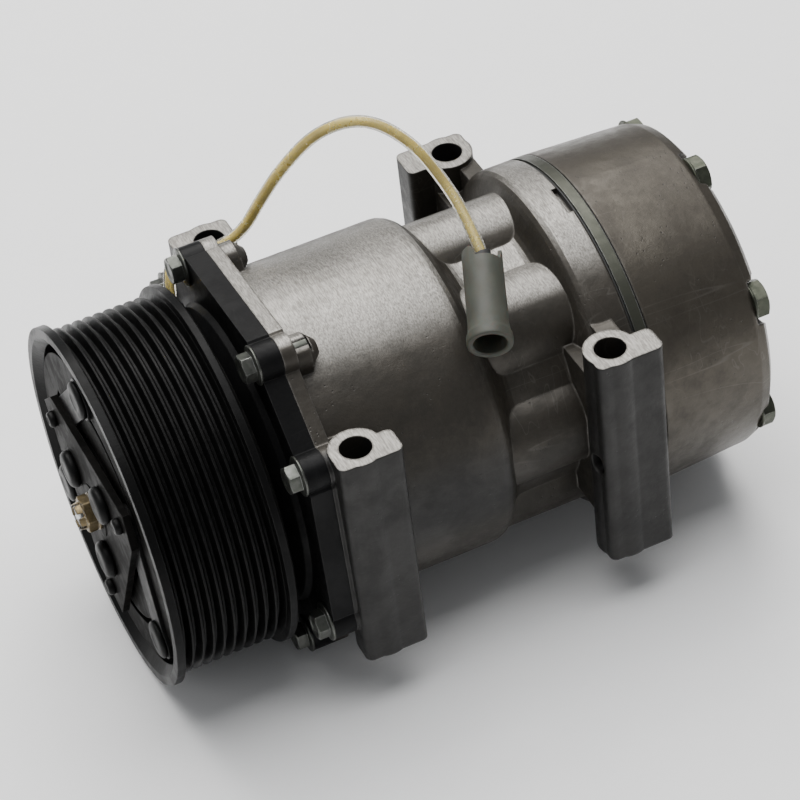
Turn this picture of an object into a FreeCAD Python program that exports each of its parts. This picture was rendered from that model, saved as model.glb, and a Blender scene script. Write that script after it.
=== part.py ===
import FreeCAD, Part
import math
import os

import Sketcher
from FreeCAD import Placement, Rotation, Vector

# Seven-cylinder wobble-plate compressor with an electromagnetic clutch.
# X runs along the shaft from the pulley (-X) to the rear head (+X), Z along the mounting bolts.
# The origin is on the shaft axis, at the centre of the four mounting holes. Millimetres and degrees.

SIZES = {
    # pulley and rotor
    "rim_front": -111.7, "rim_rear": -70.0, "rim_outer": 61.3, "ridge_radius": 58.9,
    "rim_face_inner": 58.0, "recess_radius": 54.9, "recess_step": -108.7,
    "first_groove": -106.98, "groove_pitch": 3.56, "groove_count": 10.0,
    "groove_depth": 3.1, "groove_top_half": 1.48, "groove_bottom_half": 0.35,
    "friction_front": -104.4, "friction_rear": -98.4, "coil_cavity_outer": 52.0, "coil_cavity_inner": 33.5,
    # pulley bearing
    "race_front": -99.0, "race_rear": -78.0, "race_outer": 27.5, "race_bore": 17.5,
    "outer_race_bore": 24.4, "inner_race_outer": 20.6, "ball_circle": 22.5,
    "ball_track": 3.0, "ball_radius": 2.65, "row_offset": 5.0, "ball_count": 14.0,
    # clutch coil
    "coil_front": -96.9, "coil_rear": -67.5, "coil_outer": 51.2, "coil_inner": 34.3, "coil_wall": 3.4,
    "coil_seat": 24.0,
    # armature, hub and springs
    "plate_front": -113.5, "plate_thickness": 2.4, "armature_front": -109.8, "armature_rear": -104.9,
    "armature_outer": 52.2, "armature_inner": 25.5, "hub_flange": 22.6, "hub_rear": -103.3,
    "hub_sleeve": 12.9, "hub_rivet_circle": 18.0, "spring_rivet_circle": 34.0, "armature_rivet_circle": 47.0,
    "rivet_head": 6.4, "rivet_head_height": 3.3, "rivet_shank": 3.2, "small_rivet": 2.8,
    "small_rivet_height": 2.4, "small_shank": 2.0, "spring_half_width": 5.5, "nut_flats": 11.0, "nut_height": 6.6, "nut_washer": 6.4,
    "key_top": 10.0,
    # shaft
    "spline_radius": 8.0, "journal_radius": 9.5, "thread_radius": 4.0,
    "running_fit": 0.06, "keyway_half": 2.0, "key_depth": 2.5, "shaft_front": -119.8,
    "spline_front": -110.9, "journal_front": -101.5, "shaft_rear": -41.5,
    # front housing
    "nose_front": -102.5, "bowl_front": -67.5, "flange_front": -61.0, "flange_rear": -53.7,
    "flange_apothem": 62.2, "lug_circle": 63.8, "lug_radius": 6.3, "spigot_rear": -50.2,
    "spigot_outer": 49.7, "spigot_inner": 45.0, "needle_outer": 13.0,
    "seal_front": -98.0, "seal_seat": -88.0, "needle_front": -84.0, "front_bolt_tip": -43.2,
    "short_bolt_tip": -49.8, "front_bolt_head": 5.0, "front_bolt_washer": 6.6, "front_bolt_flats": 8.5,
    "front_bolt_radius": 3.0, "seal_radius": 14.0, "coil_circlip_front": -72.05, "circlip_thickness": 1.3,
    # mechanism
    "tilt": 18.0, "ball_centre": -29.0, "rod_circle": 38.13, "rod_ball": 5.0, "socket_gap": 0.3,
    "piston_radius": 13.0, "piston_length": 26.0, "piston_top": 73.9, "wrist_offset": 55.9, "wrist_ball": 4.6,
    "plate_radius": 45.0, "plate_back": 8.0, "plate_face": 1.0, "cam_gap": 3.3, "cam_radius": 42.0,
    "cam_front": -56.8, "pivot_radius": 6.0, "anchor_neck": 4.6, "anchor_gear_radius": 13.0, "anchor_stem": 8.9,
    "anchor_rear": 12.0, "gear_teeth": 24.0, "spring_coil": 6.6, "spring_wire": 0.9, "spring_pitch": 4.8,
    # cylinder block
    "barrel_radius": 56.8, "barrel_rear": 9.0, "waist_radius": 47.0, "boss_rear": -40.5,
    "bulge_radius": 17.2, "bulge_front": 4.0, "bulge_rear": 50.0, "bore_radius": 14.3, "crank_radius": 50.0,
    "crank_rear": -6.0, "rear_flange_front": 43.5, "block_rear": 57.0, "rear_flange_radius": 59.0,
    "block_strip": 4.7, "notch_depth": 2.4,
    # mounting ears
    "hole_x": 43.7, "hole_y": 58.5, "hole_radius": 5.15, "ear_top": 40.6, "ear_bottom": -42.8,
    "ear_face": 66.5, "ear_wall": 8.7, "ear_rounding": 2.4, "web_half": 7.0, "web_root": 38.0,
    # rear end
    "discharge_circle": 28.0, "suction_circle": 44.0, "bore_circle": 37.2, "gasket_radius": 58.4,
    "chamber_outer": 46.0, "chamber_inner": 38.0, "chamber_core": 34.0,
    "plate_rear": 61.4, "gasket_rear": 61.9, "head_front_radius": 59.0, "head_rear_radius": 57.2,
    "reed_disc_radius": 47.0, "head_rear": 103.6, "bolt_seat": 99.4, "head_bolt_circle": 51.4,
    "head_bolt_radius": 3.5, "head_bolt_tip": 44.7, "short_head_bolt_tip": 49.6,
    "head_bolt_head": 5.6, "head_bolt_washer": 7.0, "head_bolt_flats": 12.0,
    # ports
    "port_y": 20.0, "port_z": 8.0, "suction_radius": 9.5, "discharge_radius": 7.5, "port_pad": 105.6,
    "clamp_thread": 3.4,
    # coil lead and its connector, along the connector's own axis
    "sleeve_radius": 2.0,
    "connector_length": 32.5, "connector_outer": 6.5, "connector_lip": 7.35, "connector_bore": 5.3,
    "connector_hole": 2.9, "pin_radius": 1.5, "mouth": -2.0, "lip_length": 1.6, "horn_height": 4.0,
    "wall_depth": 8.0, "seal_depth": 6.0,
}

CYLINDERS = 7
CYLINDER_STEP = 360.0 / CYLINDERS
FIRST_HEAD_BOLT = 100.0                              # angles turn from +Y towards +Z
FIRST_CYLINDER = FIRST_HEAD_BOLT + CYLINDER_STEP / 2
HEAD_BOLT_ANGLES = [FIRST_HEAD_BOLT + CYLINDER_STEP * index for index in range(CYLINDERS)]
NOTCH_ANGLE = 95.5                                   # a locating notch in the block's rear edge
LUG_ANGLES = [base + turn for turn in (0, 90, 180, 270) for base in (24.7, 58.2)]
FLANGE_SIDE = 41.45                                  # the eight sides stand between the lugs
HUB_PLATE_CORNERS = [(43.0, 23.2), (39.3, 40.5)]     # radius and angle, repeated each third of a turn
HUB_RIVET_ANGLE, SPRING_RIVET_ANGLE, ARMATURE_RIVET_ANGLE = 14.0, 28.8, 90.9
ALONG_X = Rotation(Vector(0, 1, 0), 90)

doc = FreeCAD.newDocument("Compressor")
nodes = []


class Size:
    """A length that carries both its number and its formula in the sheet."""

    def __init__(self, number, formula):
        self.number = float(number)
        self.formula = formula

    def __add__(self, other):
        other = as_size(other)
        return Size(self.number + other.number, "(%s + %s)" % (self.formula, other.formula))

    def __sub__(self, other):
        other = as_size(other)
        return Size(self.number - other.number, "(%s - %s)" % (self.formula, other.formula))

    def __mul__(self, factor):
        factor = as_size(factor)
        return Size(self.number * factor.number, "(%s * %s)" % (self.formula, factor.formula))

    def __neg__(self):
        return self * -1.0


def as_size(value):
    return value if isinstance(value, Size) else Size(value, "(%.6f)" % value)


def write_sheet():
    sheet = doc.addObject("Spreadsheet::Sheet", "Sizes")
    for row, (alias, number) in enumerate(SIZES.items(), start=1):
        sheet.set("A%d" % row, alias)
        sheet.set("B%d" % row, str(number))
        sheet.setAlias("B%d" % row, alias)
    doc.recompute()


def size(alias):
    return Size(SIZES[alias], "Sizes.%s" % alias)


def bind(obj, prop, value):
    """Bind a property to the sheet."""
    obj.setExpression(prop, as_size(value).formula)


def place(obj, x=0.0, y=0.0, z=0.0, rotation=None):
    if rotation is not None:
        obj.Placement = Placement(Vector(0, 0, 0), rotation)
    for axis, value in zip("xyz", (x, y, z)):
        bind(obj, "Placement.Base.%s" % axis, value)
    return obj


def around(radius, angle):
    """The Y and Z of a point at an angle round the shaft axis."""
    turn = math.radians(angle)
    return as_size(radius) * math.cos(turn), as_size(radius) * math.sin(turn)


def axis_rotation(angle):
    """A quarter turn that lays Z along X, then a turn about X."""
    return Rotation(Vector(1, 0, 0), angle) * ALONG_X


def rod(x_from, x_to, radius, y=0.0, z=0.0):
    """A cylinder along X."""
    obj = doc.addObject("Part::Cylinder", "Rod")
    bind(obj, "Radius", radius)
    bind(obj, "Height", as_size(x_to) - x_from)
    return place(obj, x_from, y, z, ALONG_X)


def cone(x_from, x_to, radius_from, radius_to, y=0.0, z=0.0):
    obj = doc.addObject("Part::Cone", "Cone")
    bind(obj, "Radius1", radius_from)
    bind(obj, "Radius2", radius_to)
    bind(obj, "Height", as_size(x_to) - x_from)
    return place(obj, x_from, y, z, ALONG_X)


def post(z_from, z_to, radius, x=0.0, y=0.0):
    """A cylinder along Z."""
    obj = doc.addObject("Part::Cylinder", "Post")
    bind(obj, "Radius", radius)
    bind(obj, "Height", as_size(z_to) - z_from)
    return place(obj, x, y, z_from)


def prism(sides, x_from, x_to, flats, y=0.0, z=0.0, angle=0.0):
    """A regular prism along X, by its width across flats."""
    obj = doc.addObject("Part::Prism", "Prism")
    obj.Polygon = sides
    bind(obj, "Circumradius", as_size(flats) * (0.5 / math.cos(math.pi / sides)))
    bind(obj, "Height", as_size(x_to) - x_from)
    return place(obj, x_from, y, z, axis_rotation(angle))


def hexagon(x_from, x_to, flats, y=0.0, z=0.0, angle=0.0):
    return prism(6, x_from, x_to, flats, y, z, angle)


def block(x_from, x_to, y_from, y_to, z_from, z_to):
    obj = doc.addObject("Part::Box", "Block")
    bind(obj, "Length", as_size(x_to) - x_from)
    bind(obj, "Width", as_size(y_to) - y_from)
    bind(obj, "Height", as_size(z_to) - z_from)
    return place(obj, x_from, y_from, z_from)


def rounded_post(box, radius):
    """A block with its four upright edges rounded."""
    doc.recompute([box])
    edges = [number + 1 for number, edge in enumerate(box.Shape.Edges)
             if abs(edge.Vertexes[0].Z - edge.Vertexes[1].Z) > 1.0]
    obj = doc.addObject("Part::Fillet", "RoundedPost")
    obj.Base = box
    obj.Edges = [(number, radius, radius) for number in edges]
    return obj


def spoke(x_from, x_to, r_from, r_to, width, angle):
    """A block that points away from the shaft axis at an angle."""
    obj = doc.addObject("Part::Box", "Spoke")
    bind(obj, "Length", as_size(x_to) - x_from)
    bind(obj, "Width", as_size(r_to) - r_from)
    bind(obj, "Height", width)
    turn = math.radians(angle)
    y_start = as_size(r_from) * math.cos(turn) + as_size(width) * (math.sin(turn) / 2)
    z_start = as_size(r_from) * math.sin(turn) - as_size(width) * (math.cos(turn) / 2)
    return place(obj, x_from, y_start, z_start, Rotation(Vector(1, 0, 0), angle))


def sphere(radius, x, y=0.0, z=0.0):
    """A ball whose poles lie along X, so that a bar along X meets it in a plain circle."""
    obj = doc.addObject("Part::Sphere", "Sphere")
    bind(obj, "Radius", radius)
    return place(obj, x, y, z, ALONG_X)


def torus(ring_radius, tube_radius, x):
    obj = doc.addObject("Part::Torus", "Torus")
    bind(obj, "Radius1", ring_radius)
    bind(obj, "Radius2", tube_radius)
    return place(obj, x, rotation=ALONG_X)


def fuse(*shapes):
    obj = doc.addObject("Part::MultiFuse", "Fuse")
    obj.Shapes = list(shapes)
    return obj


def cut(base, *tools):
    obj = doc.addObject("Part::Cut", "Cut")
    obj.Base = base
    obj.Tool = tools[0] if len(tools) == 1 else fuse(*tools)
    return obj


def group(*shapes):
    obj = doc.addObject("Part::Compound", "Group")
    obj.Links = list(shapes)
    return obj


def node(name, obj):
    """Name a finished piece: its label is also its file's name."""
    obj.Label = name
    nodes.append(obj)
    return obj


def origin_plane(body, role):
    return next(item for item in body.Origin.OriginFeatures if item.Role == role)


def profile_sketch(body, points, role="XZ_Plane"):
    """A closed outline through points, each held to the sheet by two dimensions."""
    sketch = body.newObject("Sketcher::SketchObject", "Outline")
    sketch.AttachmentSupport = [(origin_plane(body, role), "")]
    sketch.MapMode = "FlatFace"
    corners = [(as_size(across), as_size(up)) for across, up in points]
    count = len(corners)
    places = [Vector(across.number, up.number, 0) for across, up in corners]
    for index in range(count):
        sketch.addGeometry(Part.LineSegment(places[index], places[(index + 1) % count]))
    for index in range(count):
        sketch.addConstraint(Sketcher.Constraint("Coincident", index, 2, (index + 1) % count, 1))
    for index, (across, up) in enumerate(corners):
        for kind, value in (("DistanceX", across), ("DistanceY", up)):
            number = sketch.addConstraint(Sketcher.Constraint(kind, -1, 1, index, 1, value.number))
            sketch.setExpression("Constraints[%d]" % number, value.formula)
    return sketch


def eased(points, reach, steps=4):
    """Replace a profile's inner corners by short curves that start and end a given distance from them."""
    result = [points[0]]
    for before, corner, after in zip(points, points[1:], points[2:]):
        before, corner, after = ([as_size(value) for value in point] for point in (before, corner, after))
        ends = []
        for other in (before, after):
            gap = math.hypot(other[0].number - corner[0].number, other[1].number - corner[1].number)
            share = min(0.45, reach / gap)
            ends.append([corner[k] * (1 - share) + other[k] * share for k in (0, 1)])
        for step in range(steps + 1):
            t = step / float(steps)
            result.append(tuple(ends[0][k] * (1 - t) ** 2 + corner[k] * (2 * t * (1 - t)) + ends[1][k] * t ** 2
                                for k in (0, 1)))
    return result + [points[-1]]


def turned(points, angle=360.0, start=0.0):
    """A solid turned about the shaft axis from an outline of (x, radius) points."""
    body = doc.addObject("PartDesign::Body", "Turned")
    sketch = profile_sketch(body, points)
    turning = body.newObject("PartDesign::Revolution", "Turning")
    turning.Profile = sketch
    turning.ReferenceAxis = (sketch, ["H_Axis"])
    turning.Angle = angle
    if start:
        body.Placement = Placement(Vector(0, 0, 0), Rotation(Vector(1, 0, 0), start))
    return body


def ring(x_from, x_to, outer, inner):
    return turned([(x_from, inner), (x_to, inner), (x_to, outer), (x_from, outer)])


def extruded(points, x_from, thickness):
    """A plate across the shaft axis, padded from an outline of (y, z) points."""
    body = doc.addObject("PartDesign::Body", "Plate")
    sketch = profile_sketch(body, points, "YZ_Plane")
    pad = body.newObject("PartDesign::Pad", "Pad")
    pad.Profile = sketch
    bind(pad, "Length", thickness)
    bind(body, "Placement.Base.x", x_from)
    return body


# ---------------------------------------------------------------- clutch

def build_pulley():
    s = size
    body = turned([
        (s("rim_front"), s("rim_face_inner")), (s("rim_front"), s("rim_outer")),
        (s("rim_front") + 2.8, s("rim_outer")), (s("rim_front") + 3.3, s("ridge_radius")),
        (s("rim_rear") - 3.4, s("ridge_radius")), (s("rim_rear") - 2.9, s("rim_outer")),
        (s("rim_rear") - 0.6, s("rim_outer")), (s("rim_rear"), s("rim_outer") - 0.6),
        (s("rim_rear"), s("coil_cavity_outer")), (s("friction_rear"), s("coil_cavity_outer")),
        (s("friction_rear"), s("coil_cavity_inner")), (s("race_rear") + 3.0, s("coil_cavity_inner")),
        (s("race_rear") + 3.0, s("race_outer")), (s("race_rear") + 1.6, s("race_outer")),
        (s("race_rear") + 1.6, s("race_outer") + 1.2), (s("race_rear"), s("race_outer") + 1.2),
        (s("race_rear"), s("race_outer")), (s("race_front"), s("race_outer")),
        (s("race_front"), s("race_outer") - 3.0), (s("friction_front"), s("race_outer") - 3.0),
        (s("friction_front"), s("recess_radius")), (s("recess_step"), s("recess_radius")),
    ])
    middle, land = s("first_groove"), s("ridge_radius") + 0.5
    half_top = s("groove_top_half") + 0.18
    outline = profile_sketch(body, [
        (middle - half_top, land), (middle - s("groove_bottom_half"), s("ridge_radius") - s("groove_depth")),
        (middle + s("groove_bottom_half"), s("ridge_radius") - s("groove_depth")), (middle + half_top, land),
    ])
    groove = body.newObject("PartDesign::Groove", "BeltGroove")
    groove.Profile = outline
    groove.ReferenceAxis = (outline, ["H_Axis"])
    groove.Angle = 360
    row = body.newObject("PartDesign::LinearPattern", "BeltGrooves")
    row.Originals = [groove]
    row.Direction = (outline, ["H_Axis"])
    bind(row, "Length", s("groove_pitch") * (SIZES["groove_count"] - 1))
    row.Occurrences = int(SIZES["groove_count"])
    body.Tip = row
    slots = []
    for inner, first in ((37.0, 0.0), (45.0, 60.0)):
        for turn in (0, 120, 240):
            slots.append(turned([
                (s("friction_front") - 1, inner), (s("friction_rear") + 1, inner),
                (s("friction_rear") + 1, inner + 2.2), (s("friction_front") - 1, inner + 2.2),
            ], angle=72.0, start=first + turn))
    node("pulley_rotor", cut(body, *slots))


def build_bearing():
    s = size
    centre = (SIZES["race_front"] + SIZES["race_rear"]) / 2
    rows = [as_size(centre) - s("row_offset"), as_size(centre) + s("row_offset")]
    outer = ring(s("race_front"), s("race_rear"), s("race_outer"), s("outer_race_bore"))
    inner = ring(s("race_front"), s("race_rear"), s("inner_race_outer"), s("race_bore"))
    node("bearing_outer_race", cut(outer, *[torus(s("ball_circle"), s("ball_track"), x) for x in rows]))
    node("bearing_inner_race", cut(inner, *[torus(s("ball_circle"), s("ball_track"), x) for x in rows]))
    balls = []
    count = int(SIZES["ball_count"])
    for row, x in enumerate(rows):
        for index in range(count):
            y, z = around(s("ball_circle"), 360.0 * (index + row / 2) / count)
            balls.append(sphere(s("ball_radius"), x, y, z))
    node("bearing_balls", group(*balls))


def circlip(name, x, inner, outer, gap_angle=24.0):
    """A snap ring with a gap."""
    rear = x + size("circlip_thickness")
    node(name, turned([(x, inner), (rear, inner), (rear, outer), (x, outer)], angle=360.0 - gap_angle))


def build_coil():
    s = size
    front, rear, wall = s("coil_front"), s("coil_rear"), s("coil_wall")
    node("coil_housing", turned([
        (rear, s("coil_seat")), (rear, s("coil_outer")), (front, s("coil_outer")),
        (front, s("coil_outer") - wall), (rear - 4.0, s("coil_outer") - wall),
        (rear - 4.0, s("coil_inner") + wall), (front, s("coil_inner") + wall), (front, s("coil_inner")),
        (rear - 3.0, s("coil_inner")), (rear - 3.0, s("coil_seat")),
    ]))
    node("coil_winding", turned([
        (front + 2.0, s("coil_inner") + wall), (front + 2.0, s("coil_outer") - wall),
        (rear - 4.0, s("coil_outer") - wall), (rear - 4.0, s("coil_inner") + wall),
    ]))


def hub_plate_outline():
    """A triangle whose three corners are cut short."""
    return [around(radius, angle + 120 * corner) for corner in range(3) for radius, angle in HUB_PLATE_CORNERS]


def build_armature():
    s = size
    disc = ring(s("armature_front"), s("armature_rear"), s("armature_outer"), s("armature_inner"))
    tools = []
    for turn in (0, 120, 240):
        tools.append(turned([
            (s("armature_front") - 1, 38.6), (s("armature_rear") + 1, 38.6),
            (s("armature_rear") + 1, 41.0), (s("armature_front") - 1, 41.0),
        ], angle=76.0, start=-(ARMATURE_RIVET_ANGLE + turn + 38.0)))
        y, z = around(s("armature_rivet_circle"), ARMATURE_RIVET_ANGLE + turn)
        tools.append(rod(s("armature_front") - 1, s("armature_rear") + 1, s("rivet_shank"), y, z))
    node("armature_plate", cut(disc, *tools))

    springs, rivets = [], []
    spring_front = s("plate_front") + s("plate_thickness")
    for turn in (0, 120, 240):
        inner_y, inner_z = around(s("spring_rivet_circle"), SPRING_RIVET_ANGLE + turn)
        outer_y, outer_z = around(s("armature_rivet_circle"), ARMATURE_RIVET_ANGLE + turn)
        across_y, across_z = outer_y.number - inner_y.number, outer_z.number - inner_z.number
        span, lean = math.hypot(across_y, across_z), math.degrees(math.atan2(across_z, across_y))
        strip = doc.addObject("Part::Box", "Strip")
        strip.Length = span
        bind(strip, "Width", s("spring_half_width") * 2)
        bind(strip, "Height", s("armature_front") - spring_front)
        sideways = Vector(-math.sin(math.radians(lean)), math.cos(math.radians(lean)), 0)
        sideways *= SIZES["spring_half_width"]
        strip.Placement = Placement(
            Vector(spring_front.number, inner_y.number - sideways.x, inner_z.number - sideways.y),
            Rotation(Vector(0, math.cos(math.radians(lean)), math.sin(math.radians(lean))),
                     Vector(0, -math.sin(math.radians(lean)), math.cos(math.radians(lean))),
                     Vector(1, 0, 0), "XYZ"))
        bind(strip, "Placement.Base.x", spring_front)
        ends = [rod(spring_front, s("armature_front"), 6.0, inner_y, inner_z),
                rod(spring_front, s("armature_front"), 7.0, outer_y, outer_z)]
        holes = [rod(spring_front - 1, s("armature_front") + 1, s("small_shank") + 0.3, inner_y, inner_z),
                 rod(spring_front - 1, s("armature_front") + 1, s("rivet_shank"), outer_y, outer_z)]
        springs.append(cut(fuse(strip, *ends), *holes))
        head_front = spring_front - 2.0
        rivets.append(fuse(
            cone(head_front, head_front + 0.6, s("rivet_head") - 0.6, s("rivet_head"), outer_y, outer_z),
            rod(head_front + 0.6, spring_front, s("rivet_head"), outer_y, outer_z),
            rod(spring_front, s("armature_rear") - 0.4, s("rivet_shank"), outer_y, outer_z)))
    node("leaf_springs", group(*springs))
    node("armature_rivets", group(*rivets))


def build_hub():
    s = size
    front, rear = s("plate_front"), s("plate_front") + s("plate_thickness")
    plate = extruded(hub_plate_outline(), front, s("plate_thickness"))
    holes, hub_rivets, spring_rivets, flange_holes = [rod(front - 1, rear + 1, 9.0)], [], [], []
    for turn in (0, 120, 240):
        y, z = around(s("hub_rivet_circle"), HUB_RIVET_ANGLE + turn)
        holes.append(rod(front - 1, rear + 1, s("rivet_shank"), y, z))
        flange_holes.append(rod(rear - 1, rear + 4, s("rivet_shank"), y, z))
        head = s("rivet_head_height")
        hub_rivets.append(fuse(
            cone(front - head, front - head + 0.7, s("rivet_head") - 0.7, s("rivet_head"), y, z),
            rod(front - head + 0.7, front, s("rivet_head"), y, z),
            rod(front, rear + 2.2, s("rivet_shank"), y, z)))
        y, z = around(s("spring_rivet_circle"), SPRING_RIVET_ANGLE + turn)
        holes.append(rod(front - 1, rear + 1, s("small_shank"), y, z))
        tip, shoulder = front - s("small_rivet_height"), front - s("small_rivet_height") * 0.5
        spring_rivets.append(fuse(
            cone(tip, shoulder, s("small_rivet") * 0.5, s("small_rivet"), y, z),
            rod(shoulder, front, s("small_rivet"), y, z),
            rod(front, s("armature_front") - 0.1, s("small_shank"), y, z)))
    node("hub_plate", cut(plate, *holes))
    node("hub_rivets", group(*hub_rivets))
    node("spring_rivets", group(*spring_rivets))
    hub = turned([
        (front - 0.3, s("thread_radius") + 0.3), (front - 0.3, 9.0), (rear, 9.0), (rear, s("hub_flange")),
        (rear + 2.2, s("hub_flange")), (rear + 2.2, s("hub_sleeve")), (s("hub_rear"), s("hub_sleeve")),
        (s("hub_rear"), s("spline_radius")), (s("spline_front") - 0.8, s("spline_radius")),
        (s("spline_front") - 0.8, s("thread_radius") + 0.3),
    ])
    keyway = block(s("spline_front") - 0.8, s("hub_rear") + 1, -s("keyway_half"), s("keyway_half"),
                   s("spline_radius") - 2, s("key_top"))
    node("clutch_hub", cut(hub, keyway, *flange_holes))
    node("gap_shims", group(
        *[ring(s("spline_front") - 0.8 + 0.4 * layer, s("spline_front") - 0.4 + 0.4 * layer, 7.6,
               s("thread_radius") + 0.1) for layer in range(2)]))
    node("shaft_key", block(s("spline_front") + 0.5, s("hub_rear") - 0.5, -s("keyway_half"), s("keyway_half"),
                            s("spline_radius") - s("key_depth"), s("key_top")))
    nut_rear = front - 0.3
    washer_front, nut_front = nut_rear - 0.9, nut_rear - s("nut_height")
    node("shaft_nut", cut(
        fuse(hexagon(nut_front, washer_front, s("nut_flats")), rod(washer_front, nut_rear, s("nut_washer"))),
        rod(nut_front - 1, nut_rear + 1, s("thread_radius"))))


# ---------------------------------------------------------------- front end

def lugs(x_from, x_to, radius, root):
    """Eight round lugs on the bolt circle, each with a web back to the flange."""
    shapes = []
    for angle in LUG_ANGLES:
        y, z = around(size("lug_circle"), angle)
        shapes.append(rod(x_from, x_to, radius, y, z))
        shapes.append(spoke(x_from, x_to, root, size("lug_circle"), as_size(radius) * 2, angle))
    return shapes


def bolt_tip(angle):
    """Where a front bolt ends: those beside a mounting bar stop short of its hole."""
    return size("short_bolt_tip") if abs(math.cos(math.radians(angle))) > 0.8 else size("front_bolt_tip")


def head_bolt_tip(angle):
    """Where a head bolt ends: the one level with the shaft stops short of the far mounting hole."""
    return size("short_head_bolt_tip") if math.cos(math.radians(angle)) > 0.95 else size("head_bolt_tip")


def build_front_housing():
    s = size
    clip_front = s("coil_circlip_front") - 0.05
    clip_rear = clip_front + s("circlip_thickness") + 0.1
    body = turned([
        (s("nose_front"), s("seal_radius")), (s("nose_front"), s("race_bore") - 0.8),
        (s("nose_front") + 0.8, s("race_bore")),
        (s("race_front") - 1.4, s("race_bore")), (s("race_front") - 1.4, 16.3), (s("race_front"), 16.3),
        (s("race_front"), s("race_bore")), (s("race_rear"), s("race_bore")), (s("race_rear"), 20.5),
        (s("race_rear") + 2.8, 20.5), (s("race_rear") + 4.4, s("coil_seat")), (clip_front, s("coil_seat")),
        (clip_front, 22.8), (clip_rear, 22.8), (clip_rear, s("coil_seat")),
        (s("bowl_front"), s("coil_seat")), (s("bowl_front"), 43.5), (s("bowl_front") + 4.5, 50.5),
        (s("flange_front"), 51.5), (s("flange_front"), 56.0),
        (s("flange_rear"), 56.0), (s("flange_rear"), s("spigot_outer")),
        (s("spigot_rear") - 2.7, s("spigot_outer")), (s("spigot_rear") - 2.7, 48.0),
        (s("spigot_rear") - 0.7, 48.0), (s("spigot_rear") - 0.7, s("spigot_outer")),
        (s("spigot_rear"), s("spigot_outer")), (s("spigot_rear"), s("spigot_inner")),
        (s("flange_front") + 0.5, s("spigot_inner")), (s("flange_front") + 0.5, s("needle_outer")),
        (s("needle_front"), s("needle_outer")), (s("needle_front"), 9.9), (s("seal_seat"), 9.9),
        (s("seal_seat"), s("seal_radius")),
    ])
    holes = []
    for angle in LUG_ANGLES:
        y, z = around(s("lug_circle"), angle)
        holes.append(rod(s("flange_front") - 1, s("flange_rear") + 1, s("front_bolt_radius") + 0.3, y, z))
    rim = cut(prism(8, s("flange_front"), s("flange_rear"), s("flange_apothem") * 2, angle=FLANGE_SIDE + 22.5),
              rod(s("flange_front") - 1, s("flange_rear") + 1, 54.0))
    node("front_housing", cut(
        fuse(body, rim, *lugs(s("flange_front"), s("flange_rear"), s("lug_radius"), 54.0)), *holes))

    bolts = []
    for index, angle in enumerate(LUG_ANGLES):
        y, z = around(s("lug_circle"), angle)
        seat = s("flange_front")
        top = seat - s("front_bolt_head")
        bolts.append(fuse(
            rod(seat - 1.2, seat, s("front_bolt_washer"), y, z),
            hexagon(top + 0.5, seat - 1.2, s("front_bolt_flats"), y, z, angle=17.0 * index),
            cone(top, top + 0.5, s("front_bolt_flats") * 0.43, s("front_bolt_flats") * 0.5, y, z),
            rod(seat, bolt_tip(angle), s("front_bolt_radius"), y, z)))
    node("front_bolts", group(*bolts))
    node("front_o_ring", torus(49.0, 1.0, s("spigot_rear") - 1.7))
    bore = s("journal_radius") + s("running_fit")
    node("shaft_seal", ring(s("seal_front"), s("seal_seat") - 1, s("seal_radius"), bore))
    node("front_needle_bearing", ring(s("needle_front") + 0.1, s("needle_front") + 17, s("needle_outer"), bore))
    node("rotor_thrust_bearing", ring(s("flange_front") + 0.5, s("cam_front") - 0.1, 24.0, 14.0))


# ---------------------------------------------------------------- mechanism

def on_tilt(along, radius=0.0, angle=0.0):
    """A point given in the wobble plate's frame: along its normal, then out at an angle."""
    tilt, turn = math.radians(SIZES["tilt"]), math.radians(angle)
    pivot = size("ball_centre")
    x = pivot + as_size(along) * math.cos(tilt) - as_size(radius) * (math.sin(turn) * math.sin(tilt))
    y = as_size(radius) * math.cos(turn)
    z = as_size(along) * math.sin(tilt) + as_size(radius) * (math.sin(turn) * math.cos(tilt))
    return x, y, z


def tilted_rod(along_from, along_to, radius):
    """A cylinder whose axis is the wobble plate's normal."""
    obj = doc.addObject("Part::Cylinder", "TiltedRod")
    bind(obj, "Radius", radius)
    bind(obj, "Height", as_size(along_to) - along_from)
    return place(obj, *on_tilt(along_from), rotation=Rotation(Vector(0, 1, 0), 90 - SIZES["tilt"]))


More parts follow.
